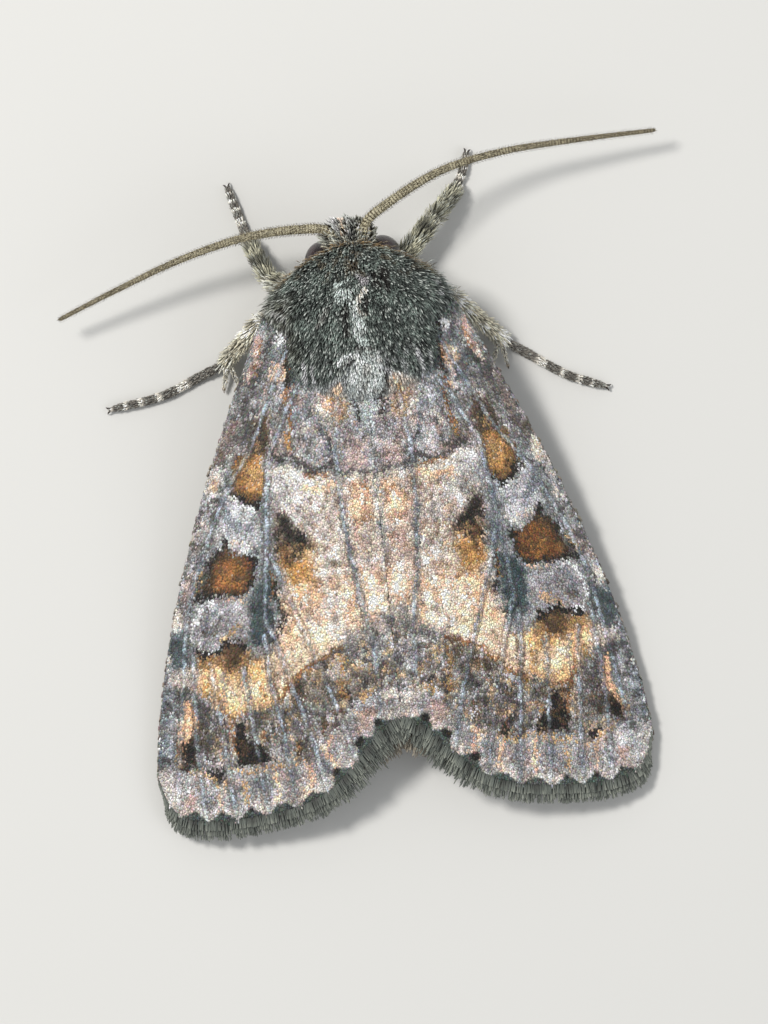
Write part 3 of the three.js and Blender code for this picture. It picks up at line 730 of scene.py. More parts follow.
eye_material, nodes, links, shader = new_material("eye", roughness=0.22)
shader.inputs["Coat Weight"].default_value = 0.35
shader.inputs["Coat Roughness"].default_value = 0.12
eye_place = add_node(nodes, "TexCoord")
facets = add_node(nodes, "TexVoronoi", {"Scale": 1 / (FACET * MM)})
blotches = add_node(nodes, "TexNoise", {"Scale": 1 / (BLOTCH * MM)})
eye_ramp = add_node(nodes, "ValToRGB")
eye_ramp.color_ramp.elements[0].position = 0.3
eye_ramp.color_ramp.elements[0].color = (*to_light((0.08, 0.06, 0.06)), 1)
eye_ramp.color_ramp.elements[1].position = 0.75
eye_ramp.color_ramp.elements[1].color = (*to_light((0.27, 0.20, 0.21)), 1)
facet_relief = add_node(nodes, "Bump", {"Distance": 0.012 * MM})
facet_relief.invert = True
eye_net = add_node(nodes, "MapRange", {"From Max": 0.5, "To Min": 1.25, "To Max": 0.55})
eye_shade = add_node(nodes, "VectorMath")
eye_shade.operation = "MULTIPLY"
links.new(eye_place.outputs["Object"], facets.inputs["Vector"])
links.new(eye_place.outputs["Object"], blotches.inputs["Vector"])
links.new(blotches.outputs["Fac"], eye_ramp.inputs["Fac"])
links.new(facets.outputs["Distance"], eye_net.inputs["Value"])
links.new(eye_ramp.outputs["Color"], eye_shade.inputs[0])
links.new(eye_net.outputs["Result"], eye_shade.inputs[1])
links.new(eye_shade.outputs["Vector"], shader.inputs["Base Color"])
links.new(facets.outputs["Distance"], facet_relief.inputs["Height"])
links.new(facet_relief.outputs["Normal"], shader.inputs["Normal"])

for side, sign in SIDES:
    eye = make_piece(f"eye_dome_{side}", *closed_grid(eye_dome(sign), rings=40, sides=64), eye_material)
    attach(eye, "root")
    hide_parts(f"eye_{side}")

# ---- Forewings: membrane and veins --------------------------------------------------------
# Each forewing is a thin membrane on a fan of raised veins that start at its root. Together
# they close over the back as a low roof, and their leading edges come down beside the body.

COSTA = dict(half_span=10.2, curve=0.0665, power=1.556, end_back=21.8)
COSTA_EDGE = dict(tip_height=0.78, level_back=22.5, rise=0.0085)
ROOF_POWER = 1.7
SCALE_DEPTH = 0.13  # how far the membrane lies below the tips of its scales
MEMBRANE = 0.16
VEIN = dict(spread=0.13, height=0.07)
EDGE_ROLL = 0.12  # how far the leading edge curls down
SAG = dict(depth=0.03, size=1.3, seed=21)
FOREWING_RIM = [(0.03, 19.5), (0.6, 19.85), (1.1, 20.2), (1.9, 21.1), (3.0, 22.15), (4.3, 22.75),
                (6.0, 23.02), (8.0, 23.08), (9.0, 22.85), (9.62, 22.3), (9.98, 21.2)]

# The veins from root to rim, as (out, back): the two that bound the middle cell come first.
VEINS = [
    [(3.0, 4.6), (4.9, 8.4), (5.8, 9.6), (6.75, 11.3), (7.5, 12.9), (8.15, 14.8)],
    [(2.2, 5.2), (3.4, 7.2), (4.2, 8.8), (4.45, 10.5), (4.65, 12.4), (4.9, 14.2), (5.0, 15.4)],
    [(8.15, 14.8), (8.5, 17), (8.9, 19.5), (9.3, 22.3)],
    [(8.0, 15.9), (8.15, 17.8), (8.3, 20), (8.2, 23.1)],
    [(7.4, 16.7), (7.3, 18), (7.15, 20), (7.0, 23.1)],
    [(6.1, 17.0), (6.0, 18.6), (5.85, 20.5), (5.7, 23)],
    [(5.1, 15.8), (5.05, 17.4), (4.8, 19.2), (4.5, 22.85)],
    [(4.95, 15.2), (4.35, 17.2), (3.9, 19), (3.2, 22.2)],
    [(4.5, 12.6), (3.9, 14.6), (3.3, 16.4), (2.6, 18.6), (2.0, 20.95)],
    [(1.2, 6.5), (1.5, 9), (1.45, 11.5), (1.2, 14), (0.85, 16), (0.75, 18), (0.9, 20)],
]


def costa_out(back):
    """How far out the forewing's leading edge lies at a distance behind the brow."""
    ahead = np.maximum(COSTA["end_back"] - back, 0)
    return COSTA["half_span"] - COSTA["curve"] * ahead ** COSTA["power"]


def roof_height(out, back):
    """Height of the closed wings: from the ridge on the midline down to the leading edge."""
    ahead = np.maximum(COSTA_EDGE["level_back"] - back, 0)
    edge = COSTA_EDGE["tip_height"] + COSTA_EDGE["rise"] * ahead**2
    return blended(ridge_height(back), edge, (np.abs(out) / costa_out(back)) ** ROOF_POWER)


def wing_plan(inner, outer, rim):
    """The wing seen from above, as a function of u, root to rim, and v, inner to outer edge.

    Its four edges are given, the root being straight, and the patch is blended between them."""
    rim_way = route_through([(*point, 0) for point in rim])

    def plan(u, v):
        u, v = np.broadcast_arrays(np.asarray(u, float), np.asarray(v, float))
        edges = blended(inner(u), outer(u), v[..., None])
        chord = blended(inner(0 * v + 1), outer(0 * v + 1), v[..., None])
        rest = rim_way(np.clip(v, 0, 1))[..., :2] - chord
        return edges + u[..., None] * rest

    return plan


def inner_edge(root, corner, edge):
    """The hind edge of a wing: from its root in to the midline, then straight along it."""
    return lambda u: np.stack([
        edge + (root[0] - edge) * np.maximum(1 - 8 * u, 0) ** 2 + (corner[0] - edge) * u,
        blended(root[1], corner[1], u),
    ], -1)


def forewing_outer(u):
    """The leading edge, a little inside the tips of its scales."""
    back = blended(3.15, FOREWING_RIM[-1][1], u)
    return np.stack([costa_out(back) - 0.1, back], -1)


forewing_plan = wing_plan(inner_edge((1.25, 4.9), FOREWING_RIM[0], 0.02), forewing_outer, FOREWING_RIM)


def vein_relief(out, back):
    """How high the veins stand up, as a soft ridge along each."""
    return sum(np.exp(-((way_off(out, back, path) / VEIN["spread"]) ** 2)) for path in VEINS)


def forewing_top(u, v):
    """The upper face of the membrane, with its veins and a slight sag between them."""
    out, back = np.moveaxis(forewing_plan(u, v), -1, 0)
    roll = EDGE_ROLL * smooth(out / costa_out(back), 0.9, 1.0)
    height = roof_height(out, back) - SCALE_DEPTH - roll
    height = height + VEIN["height"] * np.minimum(vein_relief(out, back), 1)
    return np.stack([out, -back, height + SAG["depth"] * cloud(out, back, SAG["size"], SAG["seed"])], -1)


def lower_face(top):
    """The lower face of the wing with this top, run from outer to inner edge so that it faces down."""

    def surface(u, v):
        points = top(u, 1 - v)
        points[..., 2] -= MEMBRANE * rounding(2 * v - 1, 12)
        return points

    return surface


def plate(surface, thickness, rows, columns):
    """A closed plate: the surface above, the same lowered by its thickness, and one shared border."""
    u, v = np.meshgrid(np.linspace(0, 1, rows), np.linspace(0, 1, columns), indexing="ij")
    upper = surface(u, v)
    lower = upper - [0, 0, thickness] * (rounding(2 * u - 1, 20) * rounding(2 * v - 1, 12))[..., None]
    above = np.arange(rows * columns).reshape(rows, columns)
    below = above.copy()
    within = np.arange((rows - 2) * (columns - 2)).reshape(rows - 2, columns - 2)
    below[1:-1, 1:-1] = rows * columns + within
    points = np.concatenate([upper.reshape(-1, 3), lower[1:-1, 1:-1].reshape(-1, 3)])
    faces = [
        np.stack([index[:-1, :-1], index[1:, :-1], index[1:, 1:], index[:-1, 1:]], -1).reshape(-1, 4)
        for index in (above, below)
    ]
    return points, np.concatenate([faces[0], faces[1][:, ::-1]])


def on_side(part, sign):
    """A part of the right side, or its mirror image on the left, with its faces still outward."""
    points, faces, *carried = part
    return part if sign > 0 else (points * [-1, 1, 1], faces[:, ::-1], *carried)


# The markings of the upper side, as (out, back).
GROUNDS = [
    # The grey base, the buff middle, the smoky band and the pale border.
    ("patch lavender", 0.3, 1.2, (0, 7), (3, 6.6), (4.2, 8.6), (2.6, 9.2), (0, 9.8)),
    ("patch buff", 0.92, 0.5, (0, 9.7), (1.5, 9.7), (3, 9.3), (4.2, 9.2), (4.25, 11.5), (4.2, 14),
     (4.3, 15), (4.7, 15.8), (4.4, 16.6), (3.6, 16.8), (2.2, 16.2), (1, 15.8), (0, 15.3)),
    ("patch haze", 0.75, 0.8, (2.4, 10.2), (3, 9.4), (4.2, 9.2), (4.2, 11), (3.4, 11.9), (2.6, 12.2),
     (1.8, 11.7)),
    ("patch rose", 0.25, 0.9, (1.3, 10.3), (2.4, 10.6), (2.7, 12.2), (2.2, 14.2), (1.2, 13.4)),
    ("patch peach", 0.9, 0.7, (1.2, 14.2), (2.4, 13.9), (3.9, 14), (4.2, 15.4), (4.6, 16), (4.6, 17),
     (3.7, 17), (2.7, 16.6), (1.9, 16), (1.2, 15.7)),
    ("patch ivory", 0.7, 0.8, (1.5, 14.3), (2.5, 14.2), (3.2, 15.2), (3.2, 16), (2.4, 16), (1.5, 15.6)),
    ("patch butter", 0.6, 0.6, (2.2, 15.1), (3.4, 15.2), (3.6, 16.4), (2.8, 16.3), (2.2, 15.9)),
    ("patch ivory", 0.4, 0.7, (2, 10.9), (3.2, 10.7), (3.3, 12.1), (2.6, 13.3), (1.8, 13.3)),
    ("patch tan", 0.6, 0.7, (2.7, 13.2), (3.5, 13.2), (3.5, 14.4), (2.8, 14.4)),
    ("patch peach", 0.65, 0.7, (0, 13.4), (0.8, 13.4), (0.95, 15.2), (0, 15.2)),
    ("patch rose", 0.6, 0.7, (0.1, 12.1), (0.9, 12), (1, 13.6), (0.2, 13.7)),
    ("patch smoke", 0.95, 0.5, (0, 15.3), (0.7, 15.5), (1.3, 16), (2.1, 16.7), (2.9, 17), (3.9, 17.3),
     (4.5, 18), (5.2, 18.6), (6, 18.9), (7, 18.9), (7.35, 18.1), (8.3, 17.8), (8.6, 19), (8.9, 20.7),
     (8.2, 20.9), (7.4, 21.3), (6.4, 21), (5.2, 20.9), (4.2, 20.8), (3.2, 20.5), (2.4, 19.6),
     (1.9, 18.6), (0, 18.4)),
    ("patch soot", 0.1, 0.7, (0, 15.4), (0.9, 15.8), (1.8, 16.6), (1.9, 17.2), (1, 18.2), (0, 18.2)),
    ("patch haze", 0.35, 0.7, (0, 15.9), (0.9, 16.1), (1.5, 17.2), (0, 17.4)),
    ("patch umber", 0.7, 0.6, (3, 17.1), (4.2, 17.5), (4.3, 18.4), (3.4, 18.5)),
    ("patch soot", 0.5, 0.7, (4, 18.3), (5, 18.6), (5, 20.6), (3.6, 20.4), (3.2, 19)),
    ("patch lavender", 0.85, 0.5, (0, 18.4), (1.3, 18.6), (1.9, 19), (2, 20.3), (1.2, 20.2), (0, 19.7)),
    ("patch border grey", 0.95, 0.3, (1.5, 20.2), (2.3, 19.7), (2.8, 19.9), (3.1, 20.8), (3.8, 20.9),
     (4.1, 21.1), (4.9, 21), (5.5, 21.2), (6.3, 21), (7.3, 21.5), (8.3, 20.8), (9, 20.7), (10.2, 21),
     (10.2, 24.5), (0, 24.5)),
    ("patch haze", 0.5, 0.6, (7.6, 20.9), (10.2, 21.2), (10.2, 24), (8.2, 24)),
    # The leading edge: slate, with a paler stripe inside it.
    ("line slate", 0.6, 0.55, (4.6, 3.6), (6.5, 7.6), (8, 11.5), (9.2, 15.4), (9.85, 19), (10, 20.6)),
    ("line haze", 0.5, 0.22, (6.2, 8.7), (6.9, 10.4), (7.6, 12.4), (8.3, 14.4)),
    ("patch slate", 0.5, 0.5, (8.1, 15.2), (9.2, 15.2), (9.7, 18.6), (9.85, 20.8), (9.1, 20.5),
     (8.9, 17.4), (8.1, 16.6)),
    ("patch slate", 0.45, 0.8, (0, 6.4), (4.4, 5.4), (4.4, 7), (2.4, 7.4), (0, 7.8)),
    ("patch haze", 0.5, 0.7, (0, 8.3), (2.6, 7.7), (3, 8.6), (2.4, 9.3), (0, 9.6)),
    ("patch umber", 0.35, 0.5, (2.3, 9.3), (2.9, 8.5), (3.4, 8.1), (4.1, 7.9), (4.2, 8.8), (3.4, 9)),
    ("patch soot", 0.8, 0.6, (4.2, 5.2), (5, 5.4), (6.3, 8.9), (5.6, 8.9), (4.6, 7.4)),
    ("line slate", 0.6, 0.3, (4.3, 9.6), (4.45, 12.2), (4.9, 13.6)),
    ("patch dark slate", 1, 0.35, (4.6, 13.4), (5.3, 13.7), (5.6, 14.4), (5.6, 15.7), (5.2, 16.2),
     (4.7, 15.9), (4.5, 14.8)),
]

# Flecks strewn over whole fields of the wing.
BASE_FIELD = [(0, 5), (3.2, 4.4), (6.2, 8.6), (4, 9.2), (0, 9.4)]
SMOKY_BAND = [(0, 16), (3.2, 17), (7.4, 18.4), (9, 20.8), (4, 21), (0, 18.4)]
PALE_BORDER = [(1.2, 20.4), (4, 21.2), (8.2, 21), (10.2, 21.2), (10.2, 24), (0, 24)]
LEADING_EDGE = [(4.4, 3.4), (5.4, 4.8), (10.2, 16), (10.2, 21), (9, 21), (7.9, 14), (5.8, 9.6)]
FLECKS = [
    ("flecks haze", 0.65, 0.5, *BASE_FIELD),
    ("flecks soot", 0.65, 0.5, *BASE_FIELD),
    ("flecks rose", 0.5, 0.5, (0, 5), (3.2, 4.4), (5.4, 8.6), (4, 9.2), (0, 9.4)),
    ("flecks rust", 0.35, 0.5, (0.2, 9.9), (3.8, 10.3), (3.6, 13.8), (1.2, 15.6), (0.2, 15.2)),
    ("flecks ivory", 0.8, 0.5, (0, 9.8), (4.1, 9.6), (4, 16.4), (1, 15.8), (0, 15.4)),
    ("flecks peach", 0.6, 0.5, (0.2, 13.6), (3.9, 13.6), (4.2, 16.6), (2.4, 16.1), (1, 15.7),
     (0.2, 15.2)),
    ("flecks smoke", 0.25, 0.5, (1.2, 9.9), (4.1, 9.6), (4, 13.4), (1.4, 13.8)),
    ("flecks smoke", 0.95, 0.4, (0, 14.9), (1.3, 15.3), (2.4, 16.1), (3.6, 16.8), (4.8, 17.6),
     (4.6, 18.4), (2, 17), (0, 15.8)),
    ("flecks buff", 0.7, 0.4, (0, 15.2), (1.3, 15.9), (3.6, 17), (4.8, 18), (4.4, 18.8), (2, 17.6),
     (0, 16.2)),
    ("flecks haze", 0.75, 0.5, *SMOKY_BAND),
    ("flecks tan", 0.55, 0.5, *SMOKY_BAND),
    ("flecks black", 0.5, 0.5, (0, 15.6), (3.2, 17), (7.4, 18.4), (9, 20.8), (4, 21), (0, 18.4)),
    ("flecks buff", 0.8, 0.4, (6.5, 9.8), (7.2, 9.8), (8.7, 14.2), (7.9, 14.2)),
    ("flecks white", 0.42, 0.3, *PALE_BORDER),
    ("flecks smoke", 0.75, 0.3, *PALE_BORDER),
    ("flecks rose", 0.5, 0.3, (0, 18.4), (4, 21.2), (8.2, 21), (10.2, 21.2), (10.2, 24), (0, 24)),
    ("flecks haze", 0.6, 0.4, *LEADING_EDGE),
    ("flecks soot", 0.75, 0.4, *LEADING_EDGE),
]

# The marks themselves, from the root to the rim.
MARKS = [
    # The base, dark beside the thorax, with a black painted shadow of the thorax's edge along it and a
    # white spot by the root.
    ("patch pile", 0.95, 0.3, (0, 3), (3, 3.3), (3.05, 5.8), (2.2, 6.2), (0, 6.2)),
    ("patch pile", 0.95, 0.2, (2.9, 2.8), (4.1, 2.9), (3.75, 3.7), (3.3, 3.8), (2.9, 3.8)),
    ("flecks haze", 0.6, 0.2, (3, 2.8), (4.1, 2.9), (3.8, 3.8), (3.2, 3.8)),
    ("line haze", 0.6, 0.1, (2.3, 5.6), (2.35, 6.3)),
    ("line haze", 0.6, 0.08, (2.55, 5.4), (2.6, 6.1)),
    ("patch ivory", 0.4, 0.3, (0.7, 6.5), (1.3, 5.9), (2.1, 6.1), (2.2, 7.1), (1.7, 7.9), (0.7, 7.8)),
    ("patch rose", 0.75, 0.35, (0.9, 6.5), (1.3, 6.1), (1.8, 6.3), (1.85, 7), (1.4, 7.5), (0.9, 7.3)),
    ("flecks tan", 0.8, 0.3, (0.8, 6.5), (1.3, 5.9), (1.9, 6.2), (2, 7), (1.5, 7.7), (0.8, 7.5)),
    ("line ochre", 0.6, 0.16, (1.35, 6.3), (1.2, 6.9)),
    ("line ivory", 0.6, 0.08, (1.9, 6.2), (2, 6.9), (1.6, 7.6)),
    ("line ochre", 0.5, 0.1, (0.95, 7.2), (1.05, 7.5)),
    ("patch chalk", 0.5, 0.4, (-0.1, 6.4), (0.45, 6.5), (0.4, 7.5), (0.1, 8), (-0.1, 8)),
    ("line black", 0.7, 0.09, (0.75, 6.2), (0.55, 6.9), (0.4, 7.6)),
    ("line slate", 0.55, 0.14, (2.1, 7.2), (1.85, 8), (1.7, 8.8)),
    ("line black", 0.5, 0.08, (1.75, 8.1), (1.7, 8.5)),
    ("line haze", 0.7, 0.2, (2.1, 7.4), (2.5, 7.6)),
    ("line ivory", 0.7, 0.12, (2.5, 7.55), (2.75, 7.9)),
    ("line haze", 0.5, 0.2, (0.4, 8.2), (0.2, 9)),
    ("patch rose", 0.6, 0.4, (0.2, 8.6), (0.9, 8.5), (1.2, 9.4), (0.4, 9.6)),
    # A painted shadow: the black line that the thorax's edge casts along the wing's base.
    ("line black", 0.85, 0.1, (3.02, 3.7), (3.12, 4.6), (3.04, 5), (3.06, 6.1)),
    ("patch white", 1, 0.12, (3.1, 3.95), (3.3, 3.82), (3.55, 3.95), (3.5, 4.3), (3.2, 4.38)),
    ("patch slate", 0.5, 0.3, (3.2, 4.5), (3.7, 4.6), (4, 5.6), (3.3, 5)),
    ("patch peach", 0.85, 0.25, (3.15, 5), (3.6, 5), (3.8, 5.5), (3.5, 5.85), (3.15, 5.7)),
    ("line ivory", 0.8, 0.12, (3.55, 5.2), (3.4, 5.6)),
    ("line rust", 0.7, 0.07, (3.12, 4.9), (3.12, 5.4)),
    # A painted shadow beside a vein near the root.
    ("line soot", 0.75, 0.1, (3.5, 3.9), (3.85, 4.8), (4.25, 5.5), (4.5, 5.9)),
    ("line rose", 0.9, 0.2, (4.05, 4.1), (4.2, 4.75), (4.55, 5.5)),
    ("line ivory", 0.6, 0.09, (4.1, 4.5), (4.25, 4.9)),
    ("line ivory", 0.6, 0.09, (4.6, 5.2), (4.6, 5.5)),
    ("line rust", 0.6, 0.06, (3.95, 4.3), (4.3, 5.2)),
    ("line rust", 0.75, 0.09, (3.05, 6.1), (3.15, 6.8), (3.22, 8)),
    ("line peach", 0.8, 0.1, (3.3, 6.4), (3.35, 6.55)),
    ("line ochre", 0.8, 0.13, (3.35, 8), (3.4, 8.5)),
    ("patch smoke", 0.6, 0.3, (3.35, 7), (4, 7), (3.9, 7.7), (3.4, 7.6)),
    ("line haze", 0.5, 0.25, (3.6, 6.5), (4, 6.9)),
    ("line ivory", 0.7, 0.12, (4.2, 7.1), (4.4, 7), (4.45, 7.3)),
    ("patch umber", 1, 0.25, (4, 7.2), (4.7, 7.4), (5, 8.3), (4.9, 8.6), (4.3, 8.7), (4.15, 8)),
    ("patch soot", 0.65, 0.3, (4.2, 7.4), (4.8, 7.5), (4.9, 8.4), (4.3, 8.5)),
    ("line tan", 0.6, 0.12, (4.5, 7.8), (4.6, 8.3)),
    ("line ivory", 0.7, 0.08, (5, 6.25), (5, 6.4)),
    ("patch rose", 0.55, 0.35, (5.3, 7), (5.7, 7), (6.1, 7.9), (5.6, 7.8)),
    ("patch umber", 0.5, 0.3, (5.9, 8.2), (6.3, 8.3), (6.5, 8.9), (6, 8.8)),
    ("line white", 0.5, 0.1, (5.4, 8.4), (5.8, 8.6)),
    # The first cross line, dark in front and pale behind.
    ("line soot", 0.85, 0.14, (4, 8.75), (3.45, 8.85), (2.95, 9.15), (2.4, 9.45), (1.95, 9.3),
     (1.6, 9.1)),
    ("line soot", 0.6, 0.1, (1.6, 9.1), (1.5, 9.5), (0.8, 9.5), (0.2, 9.8), (0, 9.8)),
    ("line rust", 0.6, 0.12, (2.7, 9.5), (2.2, 9.6), (1.8, 9.6)),
    ("line ivory", 0.85, 0.22, (4.1, 9.35), (3.4, 9.4), (2.7, 9.9), (1.8, 10)),
    ("line peach", 0.8, 0.2, (2.9, 10.05), (2.2, 10.15), (1.7, 9.95)),
    ("line haze", 0.6, 0.16, (4.15, 8.7), (4.3, 9.6), (4.4, 10.6)),
    ("patch ivory", 0.7, 0.3, (6.1, 9.1), (6.6, 8.95), (7.05, 10), (6.55, 10.1)),
    ("line peach", 0.6, 0.14, (6.45, 9.3), (6.6, 9.7)),
    # The ochre drop.
    ("patch umber", 0.9, 0.2, (4.45, 8.5), (5.3, 8.5), (5.75, 9.5), (5.7, 10.05), (5.2, 10.45),
     (4.85, 10.8), (4.6, 10.3), (4.4, 9.5)),
    ("line black", 0.9, 0.13, (5.7, 10), (5.2, 10.4), (4.88, 10.7), (4.65, 10.4)),
    ("patch ochre", 1, 0.35, (4.45, 8.6), (5.15, 8.5), (5.65, 9.4), (5.55, 9.9), (5, 10.35),
     (4.6, 10.1)),
    ("patch butter", 0.25, 0.5, (4.4, 8.8), (5, 8.7), (5.25, 9.4), (4.95, 10), (4.55, 9.7)),
    ("flecks umber", 0.35, 0.3, (4.8, 8.7), (5.3, 8.6), (5.6, 9.6), (5, 10.3), (4.6, 10)),
    ("line umber", 0.35, 0.14, (5.45, 9.2), (5.5, 9.8), (5.2, 10.15)),
    ("line rust", 0.5, 0.1, (4.75, 8.85), (5.15, 8.7)),
    # The dark dagger in the buff, and the rust about it.
    ("patch tan", 0.8, 0.5, (2.75, 12.2), (4, 12.2), (4, 13.3), (3.6, 14.1), (2.9, 13.6)),
    ("patch ochre", 0.8, 0.4, (2.85, 12.9), (3.5, 12.9), (4.05, 13), (4, 13.7), (3.5, 13.9), (3, 13.8)),
    ("line rust", 0.7, 0.2, (3.9, 12.3), (3.8, 13.1)),
    ("patch umber", 0.55, 0.5, (3.8, 10.8), (4.1, 10.9), (4.2, 12.6), (3.6, 13), (3.1, 12.5),
     (2.7, 12.4), (3.3, 11.7)),
    ("patch black", 0.85, 0.35, (3.8, 10.9), (4.05, 11), (3.95, 11.7), (3.75, 12.2), (3.3, 12.35),
     (2.75, 12.4), (3.15, 11.9), (3.5, 11.4)),
    ("flecks black", 0.9, 0.3, (3.2, 12.1), (4.2, 11.6), (4.25, 12.8), (3.8, 13.4), (3.2, 13.1)),
    ("line umber", 0.8, 0.12, (3.95, 12.2), (3.7, 12.7), (3.75, 13.1)),
    ("patch peach", 0.85, 0.4, (0.2, 10.2), (0.9, 10.1), (1.2, 11.1), (0.9, 11.7), (0.3, 11.3)),
    ("line rust", 0.5, 0.08, (0.25, 10.5), (0.5, 10.3), (0.9, 10.4)),
    ("line white", 0.7, 0.12, (0.65, 10.5), (0.75, 11)),
    ("line rust", 0.4, 0.1, (0.3, 11.4), (0.8, 11.7)),
    ("line ivory", 0.6, 0.2, (0.55, 13.3), (0.5, 14.4)),
    ("line white", 0.6, 0.1, (0.55, 14.7), (0.65, 14.9)),
    ("line rose", 0.5, 0.2, (1, 11.8), (0.8, 12.6)),
    ("line slate", 0.6, 0.1, (1.45, 11.2), (1.4, 12.9), (1.2, 14), (1.05, 15.2)),
    # The round spot.
    ("patch haze", 0.8, 0.25, (4.85, 11), (5.5, 10.5), (6.1, 9.95), (6.45, 10.8), (6.4, 11.6),
     (6, 12.15), (5.4, 12.4), (4.95, 12.1)),
    ("line white", 0.75, 0.1, (4.85, 10.95), (5.5, 10.55), (6, 9.95)),
    ("line slate", 0.6, 0.2, (5.7, 11.3), (6.2, 10.9), (6.2, 10.4)),
    ("line slate", 0.5, 0.12, (5.1, 11.4), (5.4, 11.3)),
    ("line ivory", 0.6, 0.12, (5.1, 12.2), (5.6, 12.2)),
    ("line peach", 0.4, 0.1, (5.6, 11.9), (6, 11.9)),
    # The dark four-sided patch, rust at its heart.
    ("patch black", 0.95, 0.14, (6.35, 11.65), (6.55, 12.1), (7.1, 12.6), (7.5, 13.3), (7.85, 14.05),
     (5.75, 14), (5.35, 13.6), (5.1, 12.5), (5.8, 12.4), (6.2, 12.1)),
    ("patch umber", 0.95, 0.3, (6.35, 12.1), (6.8, 12.5), (7.4, 13.8), (5.8, 13.9), (5.4, 13.3),
     (5.4, 12.6)),
    ("patch rust", 0.95, 0.35, (5.45, 12.6), (6.1, 12.3), (6.8, 12.7), (7, 13.8), (5.9, 13.8),
     (5.5, 13.4)),
    ("patch ochre", 0.4, 0.4, (5.7, 12.9), (6.3, 12.8), (6.6, 13.5), (6.1, 13.7)),
    ("flecks umber", 0.9, 0.3, (5.4, 12.5), (6.4, 12), (7.3, 13.8), (5.7, 13.9)),
    ("line umber", 0.6, 0.12, (6.3, 12.3), (6.5, 12.8), (6.9, 13)),
    ("line smoke", 0.6, 0.12, (7.15, 12.9), (7.5, 13.8)),
    ("line tan", 0.7, 0.07, (7.35, 12.9), (7.75, 13.8)),
    ("line peach", 0.6, 0.08, (5.7, 14.15), (6.6, 14.18)),
    ("line rose", 0.5, 0.14, (7.6, 13), (8.2, 14)),
    # Dark streaks along the cell.
    ("patch dark slate", 0.75, 0.4, (4.7, 13.6), (5.4, 13.9), (5.6, 15.6), (5, 15.9), (4.6, 14.8)),
    ("line rust", 0.7, 0.1, (4.6, 13.3), (4.45, 14.2)),
    ("line black", 0.8, 0.09, (4.55, 13.5), (4.35, 14.3), (4.3, 15.1)),
    ("line black", 0.75, 0.06, (4.3, 15.2), (4.45, 15.7), (4.8, 16)),
    ("line umber", 0.5, 0.12, (4.15, 14.5), (4.2, 15)),
    # The kidney spot, its white rim, and the dark arch behind it.
    ("patch lavender", 0.8, 0.25, (5.7, 14.3), (7.2, 14.1), (7.9, 14.5), (8.05, 15.6), (7.6, 16.15),
     (6.9, 15.9), (5.9, 15.8)),
    ("line haze", 0.7, 0.16, (6, 14.5), (6.6, 14.6), (7.1, 14.3)),
    ("line soot", 0.55, 0.12, (6.7, 14.9), (7.2, 15.2), (7.5, 15.5)),
    ("line slate", 0.6, 0.14, (6.9, 14.5), (7.4, 14.9), (7.5, 15.4)),
    ("line white", 0.85, 0.1, (7.2, 14.2), (7.6, 14.45), (7.9, 15.1), (7.95, 15.7), (7.7, 16.1),
     (7.3, 16.1)),
    ("line tan", 0.65, 0.14, (6.1, 15.2), (6.5, 15.6), (6.9, 15.75)),
    ("line umber", 0.5, 0.08, (7, 15.3), (7.5, 15.45)),
    ("patch ochre", 0.8, 0.35, (5.7, 16.2), (7, 16.2), (7.8, 16.3), (7.8, 16.9), (7.1, 17), (6.4, 17.3),
     (5.7, 17)),
    ("patch umber", 0.95, 0.25, (5.85, 15.85), (6.9, 15.9), (7.05, 16.2), (6.7, 16.8), (6.2, 16.8)),
    ("line black", 0.95, 0.11, (5.9, 16.15), (6.1, 15.9), (6.8, 15.92), (7.1, 16.1), (7.8, 16.25)),
    # The cream band beyond it.
    ("patch butter", 0.75, 0.35, (2.1, 15.9), (3.3, 15.8), (3.9, 16.3), (3.7, 16.9), (2.8, 16.6),
     (2.1, 16.4)),
    ("patch cream", 0.95, 0.35, (3.6, 16.2), (4, 16.4), (4.7, 16.6), (5.3, 16.7), (6, 17.2), (7, 16.9),
     (7.6, 16.7), (8.8, 16.9), (8.9, 17.3), (7.6, 17.7), (7.2, 18.6), (6.6, 18.9), (5.6, 18.5),
     (5, 18.4), (4.4, 17.8), (3.7, 17.1)),
    ("patch buff", 0.7, 0.4, (3.4, 16), (4.4, 16.4), (5.2, 16.8), (5.3, 18.2), (4.6, 17.9), (3.6, 17)),
    ("patch tan", 0.7, 0.35, (5.3, 16.6), (6.2, 17), (7, 17), (7.1, 17.4), (6.2, 17.5), (5.5, 17.6)),
    ("patch tan", 0.6, 0.3, (5.2, 18.2), (5.9, 18.2), (6.9, 18.5), (6.9, 19), (5.9, 18.7)),
    ("line white", 0.8, 0.16, (2.15, 16.1), (2.35, 15.9)),
    ("patch butter", 0.7, 0.6, (5.4, 17.6), (6.9, 17.2), (7, 17.8), (6.4, 18.6), (5.6, 18.2)),
    ("line slate", 0.6, 0.1, (7, 17), (6.95, 18), (7, 18.6)),
    ("line slate", 0.55, 0.08, (6.05, 17.1), (5.95, 18.3)),
    ("line umber", 0.6, 0.1, (5, 16.6), (5, 17.4), (4.9, 18.2)),
    ("line rust", 0.75, 0.12, (2.1, 16.6), (2.8, 16.85), (3.6, 17.2), (4.2, 17.6), (4.6, 18.1),
     (5.1, 18.6)),
    ("line rust", 0.65, 0.1, (6, 18.9), (6.8, 19), (7.1, 18.6), (7.2, 18)),
    ("line ochre", 0.6, 0.08, (5.35, 17), (5.4, 18.2)),
    ("line umber", 0.45, 0.08, (5.8, 16.9), (5.9, 17.5)),
    ("patch haze", 0.75, 0.3, (7.8, 16.9), (8.9, 16.8), (8.9, 17.3), (8, 17.5)),
    ("line ochre", 0.8, 0.12, (7.6, 17.5), (7.75, 17.9)),
    # Pale dots along the leading edge.
    ("patch ivory", 0.85, 0.25, (8.15, 14.5), (8.7, 14.4), (8.9, 15), (8.3, 15.1)),
